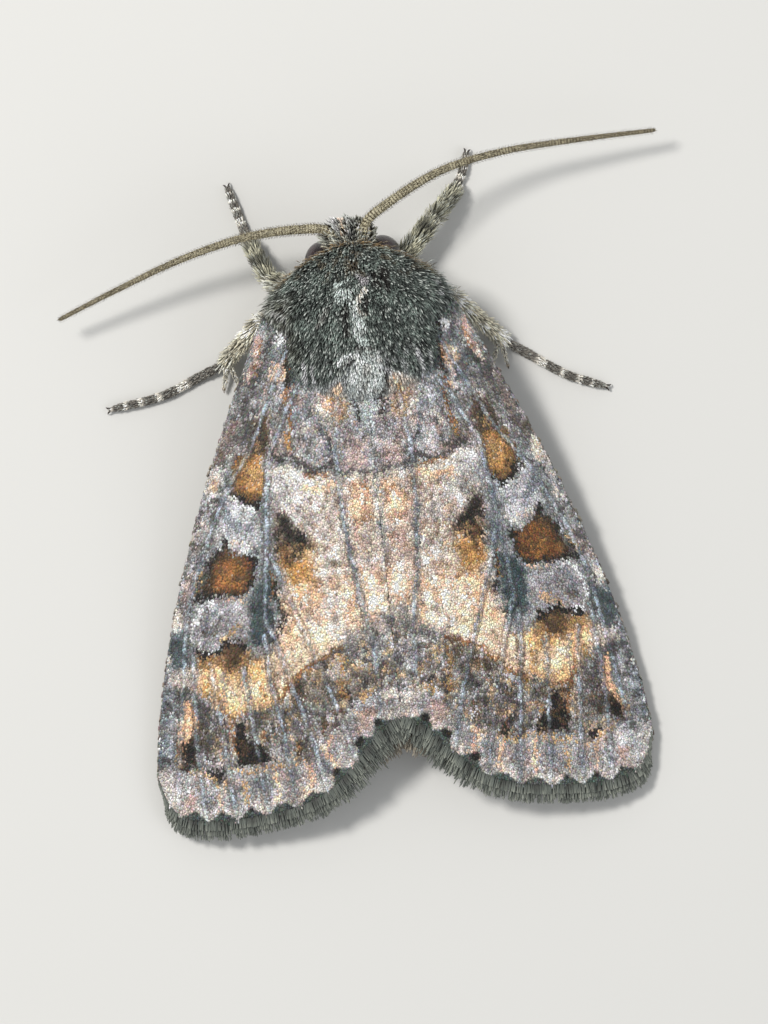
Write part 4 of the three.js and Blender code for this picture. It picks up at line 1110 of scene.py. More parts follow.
    ("patch dark slate", 0.7, 0.3, (8.1, 15.4), (8.9, 15.4), (9.1, 16.2), (8.7, 16.9), (8.2, 16.4)),
    ("line ivory", 0.9, 0.13, (9.1, 16.3), (9.35, 16.7)),
    ("line white", 0.9, 0.1, (9.6, 18.2), (9.8, 18.6)),
    ("line white", 0.9, 0.1, (9.8, 19.7), (10, 20.1)),
    ("line white", 0.85, 0.12, (9.85, 21.3), (10, 21.7)),
    ("patch soot", 0.75, 0.25, (8.3, 17.5), (8.8, 17.3), (9, 18), (8.7, 18.3), (8.3, 18.1)),
    # Streaks and flecks in the smoky band.
    ("patch soot", 0.75, 0.4, (7.5, 18), (8.2, 17.8), (8.25, 19), (8.3, 20.2), (7.6, 20.4), (7.35, 19)),
    ("flecks haze", 0.5, 0.3, (7.3, 17.8), (8.3, 17.8), (8.4, 20.5), (7.3, 20.5)),
    ("flecks umber", 0.6, 0.3, (7.3, 17.9), (8.2, 18), (8.3, 20.3), (7.4, 20.4)),
    ("patch umber", 0.2, 0.3, (1, 17.4), (2.3, 17.6), (2.4, 18.7), (1.8, 18.7), (1, 18.3)),
    ("line ochre", 0.7, 0.12, (2.15, 17), (2.3, 17.6)),
    ("line ochre", 0.7, 0.12, (2.2, 18), (2.1, 18.6)),
    ("line tan", 0.75, 0.14, (1, 18.45), (1.4, 18.6)),
    ("line black", 0.6, 0.12, (2, 18.2), (1.9, 18.7)),
    ("line black", 0.6, 0.12, (1.4, 17.9), (1.3, 18.2)),
    ("line umber", 0.6, 0.16, (2.5, 16.8), (2.7, 17.2)),
    ("patch soot", 0.6, 0.3, (5.2, 18.6), (6, 18.8), (6, 19.6), (5.2, 19.4)),
    ("patch soot", 0.5, 0.3, (2.5, 17.6), (3, 17.5), (3.1, 18.8), (2.5, 18.8)),
    ("line ivory", 0.7, 0.2, (0.2, 18.65), (0.7, 18.7)),
    ("line haze", 0.5, 0.14, (0.65, 16.4), (0.6, 17.4)),
    ("patch rose", 0.7, 0.3, (1.1, 18.9), (1.7, 19), (1.8, 20.1), (1.1, 19.9)),
    ("line smoke", 0.7, 0.12, (2.05, 18.9), (2.1, 20)),
    ("line white", 0.6, 0.06, (3.95, 18.4), (3.9, 18.9)),
    ("line white", 0.6, 0.06, (4.9, 19.3), (4.95, 19.6)),
    ("line haze", 0.7, 0.12, (7.2, 18.6), (7.1, 19.1)),
    ("line tan", 0.5, 0.08, (4.3, 18.6), (4.6, 18.9)),
    ("line rust", 0.6, 0.09, (4.15, 20), (4.25, 20.8)),
    ("line umber", 0.7, 0.12, (3.05, 19.2), (3.05, 19.7)),
    ("line rust", 0.5, 0.1, (5.6, 19.7), (5.7, 20)),
    # The wedges in front of the pale border, and its scallops.
    ("line peach", 0.95, 0.24, (8.4, 18.2), (8.5, 19), (8.7, 19.7), (8.85, 20.2)),
    ("line rust", 0.5, 0.07, (8.3, 18.3), (8.35, 19.3)),
    ("line tan", 0.6, 0.08, (8.9, 19.6), (9.2, 20.6)),
    ("patch black", 0.95, 0.16, (8.4, 19.5), (8.75, 19.8), (9.05, 20.8), (8.5, 20.6), (8.3, 20.2)),
    ("patch black", 0.98, 0.16, (6.3, 19), (6.6, 19.5), (6.75, 20.9), (6.1, 20.9), (5.3, 20.7),
     (5.7, 20.1), (6.05, 20)),
    ("patch black", 0.9, 0.16, (7.4, 20.95), (8, 20.9), (7.95, 21.3), (7.5, 21.35)),
    ("flecks umber", 0.7, 0.2, (5.3, 19), (6.8, 19), (6.8, 20.9), (5.3, 20.9)),
    ("flecks umber", 0.6, 0.2, (8.3, 19.4), (9.1, 19.8), (9.1, 20.8), (8.3, 20.7)),
    ("line black", 0.7, 0.1, (4.1, 20.4), (4.2, 20.7)),
    ("line rust", 0.75, 0.09, (6.75, 19.3), (6.7, 20.3)),
    ("line tan", 0.75, 0.08, (4, 20.9), (4.4, 21), (5.3, 20.9), (5.8, 21.15), (6.4, 21.2), (6.9, 21)),
    ("line tan", 0.7, 0.08, (7, 21.3), (7.6, 21.55), (8.2, 21), (8.9, 20.85)),
    ("line peach", 0.8, 0.13, (2.8, 20.1), (3, 20.6), (2.7, 21.1), (2.85, 21.6)),
    ("line peach", 0.85, 0.11, (5.25, 21.2), (5.15, 22.4)),
    ("line peach", 0.8, 0.12, (3.95, 21.1), (3.8, 21.9), (3.95, 22.4)),
    ("line tan", 0.75, 0.1, (6.5, 21.5), (6.45, 22.4)),
    ("line peach", 0.55, 0.1, (7.6, 21.7), (7.6, 22.5)),
    ("line rose", 0.7, 0.2, (8.7, 21.9), (8.8, 22.5)),
    ("patch slate", 0.55, 0.3, (5.5, 21.4), (6.2, 21.3), (6.2, 22.1), (5.6, 21.9)),
    ("line slate", 0.5, 0.17, (7, 21.7), (6.95, 22.3)),
    ("line slate", 0.5, 0.17, (4.6, 21.3), (4.5, 21.8)),
    ("line slate", 0.5, 0.1, (8.15, 21.9), (8.2, 22.5)),
    ("line slate", 0.5, 0.2, (3.2, 21), (3.1, 21.4)),
    ("patch white", 0.5, 0.3, (8.6, 21.2), (9.6, 21.2), (9.6, 21.8), (8.7, 21.7)),
]
LUNULES = [(8.7, 22.95), (7.55, 23.08), (6.35, 23.05), (5.1, 22.92), (3.8, 22.6), (2.55, 21.72),
           (1.5, 20.6), (0.75, 19.95)]
SCALLOP = 0.5  # how deep the dark fringe bites into the pale border between two vein ends
VEIN_SHADE = np.array([0.57, 0.61, 0.65])
RAGGED = ((0.8, 0.12), (0.28, 0.09), (0.11, 0.06))  # each size of raggedness and how far it shifts
WASHES = (("rose", 0.28, 0.5), ("haze", 0.4, 0.4), ("smoke", 0.5, 0.4))  # shade, strength and size


def forewing_tints(out, back, seed, strewn=0.0):
    """The shade of the upper side, whose marks have ragged edges and are mottled all over, with painted
    shade beside the raised veins and a painted highlight along the leading edge.

    `strewn` scatters each point a little, as the scales of neighbouring marks mingle."""
    rng = np.random.default_rng(seed)
    x, y = out, back
    for number, (size, shift) in enumerate(RAGGED):
        x = x + shift * cloud(out, back, size, seed + 2 * number)
        y = y + 1.2 * shift * cloud(out, back, size, seed + 2 * number + 1)
    x, y = x + strewn * rng.normal(size=x.shape), y + strewn * rng.normal(size=x.shape)
    across = 10 * out / costa_out(back)
    tints = marked(np.zeros((*x.shape, 3)) + SHADES["ground"], x, y, GROUNDS)
    for number, (shade, strength, size) in enumerate(WASHES):
        patches = cloud(across, back * 0.6, size, seed + 10 + number)
        tints = laid_over(tints, shade, strength * smooth(patches, 0.1, 0.8))
    tints = marked(tints, x, y, FLECKS, seed + 40)
    tints = marked(tints, x, y, MARKS)
    fine = 0.5 * cloud(out, back, 0.12, seed + 20) + 0.6 * cloud(out, back, 0.32, seed + 21)
    worn = smooth(cloud(out, back, 0.7, seed + 22), -0.7, 0.6)
    for path in VEINS:
        off = way_off(out + 0.05 * cloud(out, back, 0.3, seed + 23), back, path)
        # Painted shade along both sides of each raised vein, broken up by the fine mottle.
        beside = np.exp(-(((off - 0.12) / 0.05) ** 2))
        tints = laid_over(tints, "soot", 0.55 * beside * smooth(fine, -0.4, 0.3))
        shade = VEIN_SHADE * (1 + 0.3 * fine)[..., None]
        tints = blended(tints, shade, ((1 - smooth(off, 0.02, 0.1)) * (0.3 + 0.5 * worn))[..., None])
    # A painted highlight: a pale line along the leading edge, where it catches the light.
    edge_highlight = (1 - smooth(costa_out(back) - out, 0.1, 0.2)) * smooth(back, 7, 8) * smooth(fine, -0.5, 0.3)
    tints = laid_over(tints, "haze", 0.6 * edge_highlight)
    from_rim = way_off(out, back, FOREWING_RIM)
    tints = laid_over(tints, "ivory", 0.3 * (1 - smooth(from_rim, 0.3, 0.8)))
    for lunule in LUNULES:
        off = np.hypot(out - lunule[0], back - lunule[1])
        aside = np.sqrt(np.maximum(off**2 - from_rim**2, 0)) + 0.05 * fine
        bite = 1 - smooth(from_rim + 0.9 * aside, SCALLOP - 0.05, SCALLOP + 0.05)
        tints = laid_over(tints, "pile", bite)
        dot = np.hypot(0.9 * aside, from_rim - SCALLOP + 0.14)
        tints = laid_over(tints, "black", 0.85 * (1 - smooth(dot, 0.1, 0.2)))
    return tints * (1.08 + 0.34 * fine)[..., None]


membrane_material = tinted_material(
    "wing_membrane", roughness=0.55, specular=0.4, grain=0.12, mottle=0.18, bump=0.015
)
FOREWING_SEEDS = {"right": 300, "left": 400}

for side, sign in SIDES:
    points, faces = plate(forewing_top, MEMBRANE, rows=190, columns=90)
    # Painted shade: the membrane takes 0.8 of the upper side's shades, as it shows only in the gaps
    # under the scales.
    tints = 0.8 * forewing_tints(points[:, 0], -points[:, 1], FOREWING_SEEDS[side])
    sided = on_side((points, faces), sign)
    wing = make_piece(f"forewing_membrane_{side}", *sided, membrane_material, tints)
    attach(wing, "root")
    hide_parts(f"forewing_{side}")

# ---- Forewings: scales --------------------------------------------------------------------
# Thousands of flat scales in overlapping rows, each rooted in the membrane and lying towards the
# rim. Each has one shade, darkened at its root as painted shade, and the markings are a mosaic of
# them, strewn with dark ones and with pale ones that are partly painted glints.

FOREWING_SCALE = dict(gap=0.067, length=0.17, width=0.1, pitch=9.0)
UNDER_SCALE = dict(gap=0.17, length=0.33, width=0.22, pitch=9.0)
BASE_ZONE = 0.59  # the share of the wing, from its root, that the base scales cover
UNDER_SEEN = dict(out=0.74, back=18.6)  # past the hindwing the forewing's underside shows
FOREWING_REACH = 20.0
PATCH = 0.003  # the size of one scale's or hair's patch on the unwrap

# A scale's outline from its root round by its left, then the crown of its back, each as shares
# of its length and width and how far it is raised.
SCALE_OUTLINE = np.array([(0, 0, 0), (0.4, -0.5, 0.03), (0.93, -0.4, 0), (1.06, 0, 0), (0.93, 0.4, 0),
                          (0.4, 0.5, 0.03), (0.6, 0, 0.12)])
SCALE_FACES = np.array([(6, i, (i + 1) % 6) for i in range(6)] + [(0, i + 1, i) for i in range(1, 5)])
# Painted shade and light on each corner of a scale: darker at the root, which lies under the row before,
# and a little lighter towards the raised tip.
SCALE_PAINTED_SHADE = np.array([0.85, 1.0, 1.05, 1.05, 1.05, 1.0, 1.0])


def rows_on(surface, gap, seed, girth_wise=121):
    """Roots in staggered rows on a surface of t and w, a gap apart, each moved a little by chance.

    The rows are even lengths apart down t. Along a row the roots are even lengths apart in w."""
    rng = np.random.default_rng(seed)
    down, round_about = np.linspace(0, 1, 300), np.linspace(0, 1, girth_wise)
    points = surface(*np.meshgrid(down, round_about, indexing="ij"))
    steps = np.linalg.norm(np.diff(points, axis=0), axis=2).mean(1)
    way = np.concatenate([[0], np.cumsum(steps)])
    rows = np.interp(np.arange(gap / 2, way[-1], gap), way, down)
    points = surface(*np.meshgrid(rows, round_about, indexing="ij"))
    girths = np.cumsum(np.linalg.norm(np.diff(points, axis=1), axis=2), axis=1)
    girths = np.concatenate([np.zeros((len(rows), 1)), girths], 1)
    count = np.maximum((girths[:, -1] / gap).astype(int), 1)
    row = np.repeat(np.arange(len(rows)), count)
    place = np.arange(count.sum()) - np.repeat(np.cumsum(count) - count, count)
    jitter = rng.uniform(-0.3, 0.3, (2, len(row)))
    target = np.clip((place + 0.25 + 0.5 * (row % 2) + jitter[0]) / count[row], 0, 1) * girths[row, -1]
    k = np.clip((girths[row] < target[:, None]).sum(1) - 1, 0, girth_wise - 2)
    before, after = girths[row, k], girths[row, k + 1]
    w = (k + (target - before) / np.maximum(after - before, 1e-9)) / (girth_wise - 1)
    t = rows[row] + jitter[1] * gap / way[-1]
    return np.clip(t, 0, 1), np.clip(w, 0, 1)


def standing(surface, t, w, step=2e-3):
    """Each root's point, the way that the coat lies there, and the way out of the surface."""
    along = surface(np.minimum(t + step, 1), w) - surface(np.maximum(t - step, 0), w)
    across = surface(t, w + step) - surface(t, w - step)
    return surface(t, w), unit(along), unit(np.cross(along, across))


def rooted(surface, gap, seed, girth_wise=121):
    """The t and w of staggered roots on a surface, then each one's point, lie and way out."""
    t, w = rows_on(surface, gap, seed, girth_wise)
    return t, w, *standing(surface, t, w)


def only(kept, *rows):
    """Several rows of values, each with the kept ones alone."""
    return [values[kept] for values in rows]


def spread(across, down):
    """Places on the unwrap, a narrow border left free round them."""
    return np.stack([0.02 + 0.96 * across, 0.02 + 0.96 * down], -1)


def scales(roots, along, outward, tints, places, size, seed):
    """Flat scales from their roots, pitched up so that each lies over the next row.

    Each corner is the root moved along the lie, across it and outward by its share in the outline."""
    rng = np.random.default_rng(seed)
    number = len(roots)
    turn = rng.normal(0, 0.1, number)[:, None]
    side = unit(np.cross(outward, along))
    along = unit(along + side * turn)
    side = unit(np.cross(outward, along))
    length = (size["length"] * rng.uniform(0.82, 1.15, number))[:, None, None]
    width = (size["width"] * rng.uniform(0.8, 1.15, number))[:, None, None]
    pitch = np.radians(size["pitch"] + rng.normal(0, 3, number))[:, None, None]
    roll = rng.normal(0, 0.09, number)[:, None, None]
    share = SCALE_OUTLINE[None]
    lengthwise = share[..., :1] * length
    points = roots[:, None] + along[:, None] * lengthwise * np.cos(pitch)
    points = points + side[:, None] * share[..., 1:2] * width
    lift = lengthwise * np.sin(pitch) + (share[..., 2:] + share[..., 1:2] * roll) * width
    points = points + outward[:, None] * lift
    faces = SCALE_FACES[None] + 7 * np.arange(number)[:, None, None]
    shades = tints[:, None] * SCALE_PAINTED_SHADE[None, :, None]
    patch = np.stack([share[..., 1] + 0 * turn, share[..., 0] - 0.5 + 0 * turn], -1)
    unwrap = places[:, None] + PATCH * patch
    return points.reshape(-1, 3), faces.reshape(-1, 3), shades.reshape(-1, 3), unwrap.reshape(-1, 2)


def grained(tints, seed, pale=0.04, dark=0.05, uneven=0.05):
    """The tints as single scales have them: each a little off, some dark, and some pale blue-grey, which
    are partly pale scales and partly painted glints.
    """
    rng = np.random.default_rng(seed)
    number = len(tints)
    tints = tints * (1 + uneven * rng.normal(size=(number, 1))) + 0.02 * rng.normal(size=(number, 3))
    chance = rng.random(number)
    bright = smooth(tints.mean(1), 0.3, 0.6)
    # Pale blue-grey scales where the wing is bright: partly pale scales, partly painted glints.
    tints = shaded(tints, [0.88, 0.92, 0.97], 0.5 * bright * (chance < pale))
    return shaded(tints, [0.24, 0.20, 0.18], 0.45 * (chance > 1 - dark))


def coat(name, parts, material):
    """One coat piece from its parts, which rides on the body."""
    points, faces, tints, unwrap = joined(parts)
    made = make_piece(name, points, faces, material, tints, unwrap)
    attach(made, "root")
    return made


ROOT_BACK = 4.5
UNDER_BOW = 0.72  # where the bow lies, as a share of the wing's reach from its root
UNDER_SPOT = (0.24, 0.45)


def underside_tints(out, back, reach, seed):
    """The plain underside of a wing: greyish buff, a dark spot and bow, and a dusky border."""
    tints = np.zeros((len(out), 3)) + [0.60, 0.56, 0.51]
    far = np.hypot(out, back - ROOT_BACK) + 0.25 * cloud(out, back, 0.9, seed)
    bow = np.exp(-(((far - UNDER_BOW * reach) / 0.35) ** 2))
    border = smooth(far, 0.83 * reach, 0.95 * reach)
    spot_out, spot_back = out - UNDER_SPOT[0] * reach, back - ROOT_BACK - UNDER_SPOT[1] * reach
    spot = np.exp(-((spot_out**2 + spot_back**2) / 0.3))
    tints = laid_over(tints, "smoke", 0.5 * bow)
    tints = laid_over(tints, "smoke", 0.55 * border)
    return laid_over(tints, "smoke", 0.7 * spot)


scale_material = tinted_material(
    "wing_scales", roughness=0.48, specular=0.35, grain=0.05, mottle=0.08, bump=0.004, sheen=0.05
)
forewing_bottom = lower_face(forewing_top)

for side, sign in SIDES:
    seed = FOREWING_SEEDS[side]
    u, v, roots, along, outward = rooted(forewing_top, FOREWING_SCALE["gap"], seed)
    seen_at = roots + along * FOREWING_SCALE["length"] * 0.6
    tints = grained(forewing_tints(seen_at[:, 0], -seen_at[:, 1], seed, 0.06), seed + 20)
    for zone, kept in (("base", u < BASE_ZONE), ("rim", u >= BASE_ZONE)):
        part = scales(*only(kept, roots, along, outward, tints, spread(v, u)), FOREWING_SCALE, seed + 21)
        coat(f"forewing_{zone}_scales_{side}", [on_side(part, sign)], scale_material)

    u, v, roots, along, outward = rooted(forewing_bottom, UNDER_SCALE["gap"], seed + 30)
    out, back = roots[:, 0], -roots[:, 1]
    beyond = (out > UNDER_SEEN["out"] * costa_out(back)) | (back > UNDER_SEEN["back"])
    u, v, roots, along, outward, out, back = only(beyond, u, v, roots, along, outward, out, back)
    tints = grained(underside_tints(out, back, FOREWING_REACH, seed), seed + 31, pale=0.05)
    part = scales(roots, along, outward, tints, spread(v, u), UNDER_SCALE, seed + 32)
    coat(f"forewing_under_scales_{side}", [on_side(part, sign)], scale_material)

# ---- Fringes ------------------------------------------------------------------------------
# Long narrow scales that stand out from the rim of each wing in three layers, the lowest the
# longest. They are dark grey with paler tips, and shaggy towards the inner corner.

FOREWING_RIM_LENGTH = 13.0
FRINGE_LAYERS = [
    dict(gap=0.036, length=0.5, width=0.07, rise=0.05),
    dict(gap=0.03, length=0.78, width=0.058, rise=0.0),
    dict(gap=0.026, length=1.0, width=0.05, rise=-0.05),
]

# The stations of a hair or long scale, each a share of its length and of its width.
HAIR = ((0.0, 0.5), (0.76, 1.0))
LONG_SCALE = ((0.0, 0.5), (0.45, 0.9), (0.93, 1.0))


def strands(roots, along, outward, length, width, lean, tints, tips, places, droop, stations=HAIR):
    """Hairs or long scales from their roots: a flat three-sided rod to each station, then a point.

    The rod's axis goes along the lie, and outward by its lean, and droops back towards the skin.
    Its shade goes from `tints` at the root to `tips`."""
    number, levels = len(roots), len(stations)
    share = np.array([station[0] for station in stations] + [1.0])[None, :, None]
    girth = np.array([station[1] for station in stations])[None, :, None]
    length, width = np.broadcast_to(length, number), np.broadcast_to(width, number)
    lean = np.broadcast_to(lean, number)[:, None, None]
    side = unit(np.cross(outward, along))
    rise = np.sin(lean) * share - droop * share**2
    way = along[:, None] * np.cos(lean) * share + outward[:, None] * rise
    axis = roots[:, None] + length[:, None, None] * way
    half = width[:, None, None] * girth / 2
    rings = [axis[:, :-1] - side[:, None] * half, axis[:, :-1] + side[:, None] * half,
             axis[:, :-1] + outward[:, None] * half * 0.8]
    points = np.concatenate([np.stack(rings, 2).reshape(number, 3 * levels, 3), axis[:, -1:]], 1)
    end = 3 * levels - 3
    template = [(0, 2, 1)] + [(end + j, end + (j + 1) % 3, 3 * levels) for j in range(3)]
    for level in range(levels - 1):
        for j in range(3):
            a, b = 3 * level + j, 3 * level + (j + 1) % 3
            template += [(a, b, b + 3), (a, b + 3, a + 3)]
    faces = np.array(template)[None] + (3 * levels + 1) * np.arange(number)[:, None, None]
    at = np.concatenate([np.repeat(share[0, :-1, 0], 3), [1.0]])
    across = np.concatenate([np.tile([-0.5, 0.5, 0.0], levels), [0.0]])
    tipped = np.minimum(at / stations[-1][0], 1)[None, :, None] ** 2
    shades = blended(tints[:, None], tips[:, None], tipped)
    unwrap = places[:, None] + PATCH * np.stack([across, at - 0.5], -1)[None]
    return points.reshape(-1, 3), faces.reshape(-1, 3), shades.reshape(-1, 3), unwrap.reshape(-1, 2)


def fringe(surface, layers, rim_length, seed, dark, pale, lunules=()):
    """The strands along a wing's rim, from the surface's last row, layer under layer."""
    rng = np.random.default_rng(seed)
    parts = []
    for number, layer in enumerate(layers):
        count = int(rim_length / layer["gap"])
        v = np.sort(rng.uniform(0.004, 0.996, count))
        roots, along, outward = standing(surface, np.full(count, 0.997), v)
        rim = np.ones(count)
        rimward = unit(surface(rim, np.minimum(v + 0.01, 1)) - surface(rim, np.maximum(v - 0.01, 0)))
        corner = smooth(v, 0.86, 0.97)[:, None]
        away = np.cross(rimward, outward) * blended(0.7, 0.1, corner) + along * blended(0.4, 1.0, corner)
        away = unit(away + rimward * rng.normal(0, 0.07, (count, 1)))
        shaggy = 1 - smooth(v, 0.15, 0.5)
        uneven = 1 + rng.normal(0, 0.05, count) + 0.12 * shaggy * rng.normal(size=count)
        length = layer["length"] * uneven
        length = length * blended(0.8, 1.0, shaggy) * blended(1.0, 0.45, corner[:, 0])
        tips = shaded(dark, pale, rng.uniform(0.2, 1.0, count))
        shades = shaded(dark, pale, rng.uniform(0.0, 0.25 + 0.15 * number, count))
        for place in lunules:
            close = np.exp(-((np.hypot(roots[:, 0] - place[0], roots[:, 1] + place[1]) / 0.2) ** 2))
            shades = shaded(shades, SHADES["black"], 0.55 * close)
            tips = shaded(tips, dark, 0.5 * close)
        lean = np.radians(rng.normal(1 - 5 * number, 3, count))
        places = np.stack([0.02 + 0.96 * v, np.full(count, 0.1 + 0.2 * number)], -1)
        parts.append(strands(roots + outward * layer["rise"], away, outward, length, layer["width"],
                             lean, shades, tips, places, droop=0.02, stations=LONG_SCALE))
    return joined(parts)


fringe_material = tinted_material(
    "fringe", roughness=0.6, specular=0.35, grain=0.05, mottle=0.15, bump=0.004, sheen=0.1
)
for side, sign in SIDES:
    part = fringe(forewing_top, FRINGE_LAYERS, FOREWING_RIM_LENGTH, FOREWING_SEEDS[side] + 50,
                  (0.30, 0.32, 0.30), (0.62, 0.63, 0.58), LUNULES)
    coat(f"forewing_fringe_{side}", [on_side(part, sign)], fringe_material)

# ---- Hindwings ----------------------------------------------------------------------------
# Broad plain wings folded away under the forewings, grey-brown with a dusky border. From below
# their scaled undersides show, and a pale fringe.

HINDWING_RIM = [(0.2, 20.0), (2.1, 20.8), (4.3, 21.1), (6.6, 20.7), (7.95, 19.4)]
HINDWING_RIM_LENGTH = 9.5
HINDWING_REACH = 17.0
HINDWING_DROP = 0.72  # how far the hindwing's upper face lies below the roof of the forewings


def hindwing_outer(u):
    """The leading edge swings out early, then runs on almost straight to its tip."""
    swing = np.sin(u * np.pi / 2) ** 0.92
    return np.stack([blended(2.9, HINDWING_RIM[-1][0], swing), blended(5.0, HINDWING_RIM[-1][1], u)], -1)


hindwing_plan = wing_plan(inner_edge((1.45, 5.85), HINDWING_RIM[0], 0.18), hindwing_outer, HINDWING_RIM)


def hindwing_top(u, v):
    """The upper face, close under the forewing, in shallow folds that run from root to rim."""
    out, back = np.moveaxis(hindwing_plan(u, v), -1, 0)
    folds = 0.035 * np.sin(v * 34) * smooth(u, 0.1, 0.5)
    return np.stack([out, -back, roof_height(out, back) - HINDWING_DROP + folds], -1)


hindwing_bottom = lower_face(hindwing_top)
HINDWING_SEEDS = {"right": 500, "left": 600}
for side, sign in SIDES:
    seed = HINDWING_SEEDS[side]
    points, faces = plate(hindwing_top, MEMBRANE, rows=90, columns=60)
    # Painted shade: the membrane takes 0.85 of the underside's shades, as it lies under the forewing and
    # between its own scales.
    tints = 0.85 * underside_tints(points[:, 0], -points[:, 1], HINDWING_REACH, seed)
    sided = on_side((points, faces), sign)
    wing = make_piece(f"hindwing_membrane_{side}", *sided, membrane_material, tints)
    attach(wing, "root")
    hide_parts(f"hindwing_{side}")

    u, v, roots, along, outward = rooted(hindwing_bottom, UNDER_SCALE["gap"], seed + 1)
    tints = underside_tints(roots[:, 0], -roots[:, 1], HINDWING_REACH, seed)
    tints = grained(tints, seed + 2, pale=0.05)
    part = scales(roots, along, outward, tints, spread(v, u), UNDER_SCALE, seed + 3)
    coat(f"hindwing_scales_{side}", [on_side(part, sign)], scale_material)
    part = fringe(hindwing_top, FRINGE_LAYERS[1:], HINDWING_RIM_LENGTH, seed + 4,
                  (0.42, 0.40, 0.36), (0.66, 0.62, 0.55))
    coat(f"hindwing_fringe_{side}", [on_side(part, sign)], fringe_material)

# ---- Trunk: hair of the thorax and collar -------------------------------------------------
# A deep pile of long flat hair-scales, dark grey with pale tips, combed back from the collar
# over the thorax to the roots of the wings, and paler, softer hair on the breast.

TRUNK_HAIR = dict(gap=0.062, length=0.42, width=0.065)
BREAST_HAIR = dict(gap=0.12, length=0.7, width=0.08)
TRUNK_LEAN = dict(middle=46.0, front=26.0, rear=20.0, aside=50.0)  # degrees up from the skin
COLLAR = dict(centre_back=3.8, inner_radius=2.6, rear_back=2.15)


def flecked(tints, seed, share, fleck=(0.78, 0.80, 0.77), strength=0.7):
    """The tips of the hairs: a share of them pale, the others a little lighter than their roots."""
    rng = np.random.default_rng(seed)
    pale = (rng.random(len(tints)) < share) * strength * rng.uniform(0.4, 1.0, len(tints))
    return shaded(tints * 1.12, fleck, pale)


def in_collar(x, back):
    """Whether a point belongs to the collar, the crescent across the front of the trunk."""
    from_centre = np.hypot(x, COLLAR["centre_back"] - back)
    return (from_centre > COLLAR["inner_radius"]) & (back < COLLAR["rear_back"])


def combed(outward, along, comb):
    """The way that hair lies when it is combed in one direction over a surface that turns away."""
    return unit(comb - (comb * outward).sum(1, keepdims=True) * outward + 0.2 * along)


hair_material = tinted_material(
    "body_hair", roughness=0.55, specular=0.35, grain=0.08, mottle=0.12, bump=0.004, sheen=0.12
)
hair_rng = np.random.default_rng(71)
thorax_parts, collar_parts = [], []
for hair, upper in ((TRUNK_HAIR, True), (BREAST_HAIR, False)):
    t, w, roots, along, outward = rooted(trunk_skin, hair["gap"], 72 + upper)
    t, w, roots, along, outward = only((outward[:, 2] > -0.15) == upper, t, w, roots, along, outward)
    number = len(t)
    x, back = roots[:, 0], -roots[:, 1]
    front, rear = 1 - smooth(back, 0.9, 1.9), smooth(back, 5.4, 6.4)
    aside = smooth(np.abs(x), 1.9, 2.5) * smooth(back, 3.2, 4.2) * (1 - rear)
    shoulder = smooth(np.abs(x), 2.0, 2.7) * smooth(back, 1.5, 2.1) * (1 - smooth(back, 3.3, 3.9))
    length = hair["length"] * blended(1.0, 0.8, rear) * blended(1.0, 1.35, np.maximum(aside, shoulder))
    length = length * hair_rng.uniform(0.75, 1.15, number)
    lean = blended(TRUNK_LEAN["middle"], TRUNK_LEAN["front"], front)
    lean = blended(blended(lean, TRUNK_LEAN["rear"], rear), TRUNK_LEAN["aside"], aside)
    lean = np.radians(lean + hair_rng.normal(0, 5, number))
    lie = along
    if upper:
        comb = np.stack([(0.12 + 0.2 * shoulder) * x, -1.0 + 0 * x, 0 * x], -1)
        lie = combed(outward, along, comb)
    lie = unit(lie + 0.2 * hair_rng.normal(size=(number, 3)))
    raised = lie * np.cos(lean)[:, None] + outward * np.sin(lean)[:, None]
    seen_at = roots + raised * length[:, None] * 0.7
    shades = trunk_tints(seen_at[:, 0], -seen_at[:, 1], TRUNK_SEED)
    edge = (1 - smooth(back, 1.6, 2.4)) * (1 - smooth(outward[:, 2], 0.3, 0.55))
    shades = shaded(shades, [0.46, 0.37, 0.25], 0.85 * edge)
    if not upper:
        shades = shades * 0.5 + np.array([0.55, 0.54, 0.51]) * 0.5
    shades = shades * (1 + 0.16 * hair_rng.normal(size=(number, 1)))
    tips = flecked(shades, 74 + upper, share=0.22, strength=1.0)
    width = hair["width"] * hair_rng.uniform(0.7, 1.25, number)
    collared = in_collar(x, back)
    for parts, chosen in ((thorax_parts, ~collared), (collar_parts, collared)):
        # Painted shade: each hair's root takes 0.6 of its shade, deep in the pile.
        grown = only(chosen, roots, lie, outward, length, width, lean, 0.6 * shades, tips, spread(w, t))
        parts.append(strands(*grown, droop=0.2))
coat("thorax_hair", thorax_parts, hair_material)
coat("collar_hair", collar_parts, hair_material)

# ---- Head and lip feelers: hair -----------------------------------------------------------
# Short rough grey hair over the crown and face, longer in the tuft between the feelers, with
# rims of brown scales round the eyes, and bristly scales on the two lip feelers.

HEAD_HAIR = dict(gap=0.062, length=0.42, width=0.075, lean=30)
HEAD_HAIR_END = -1.7  # behind this the collar covers the head
PALP_HAIR = dict(gap=0.075, length=0.22, width=0.06, lean=24)

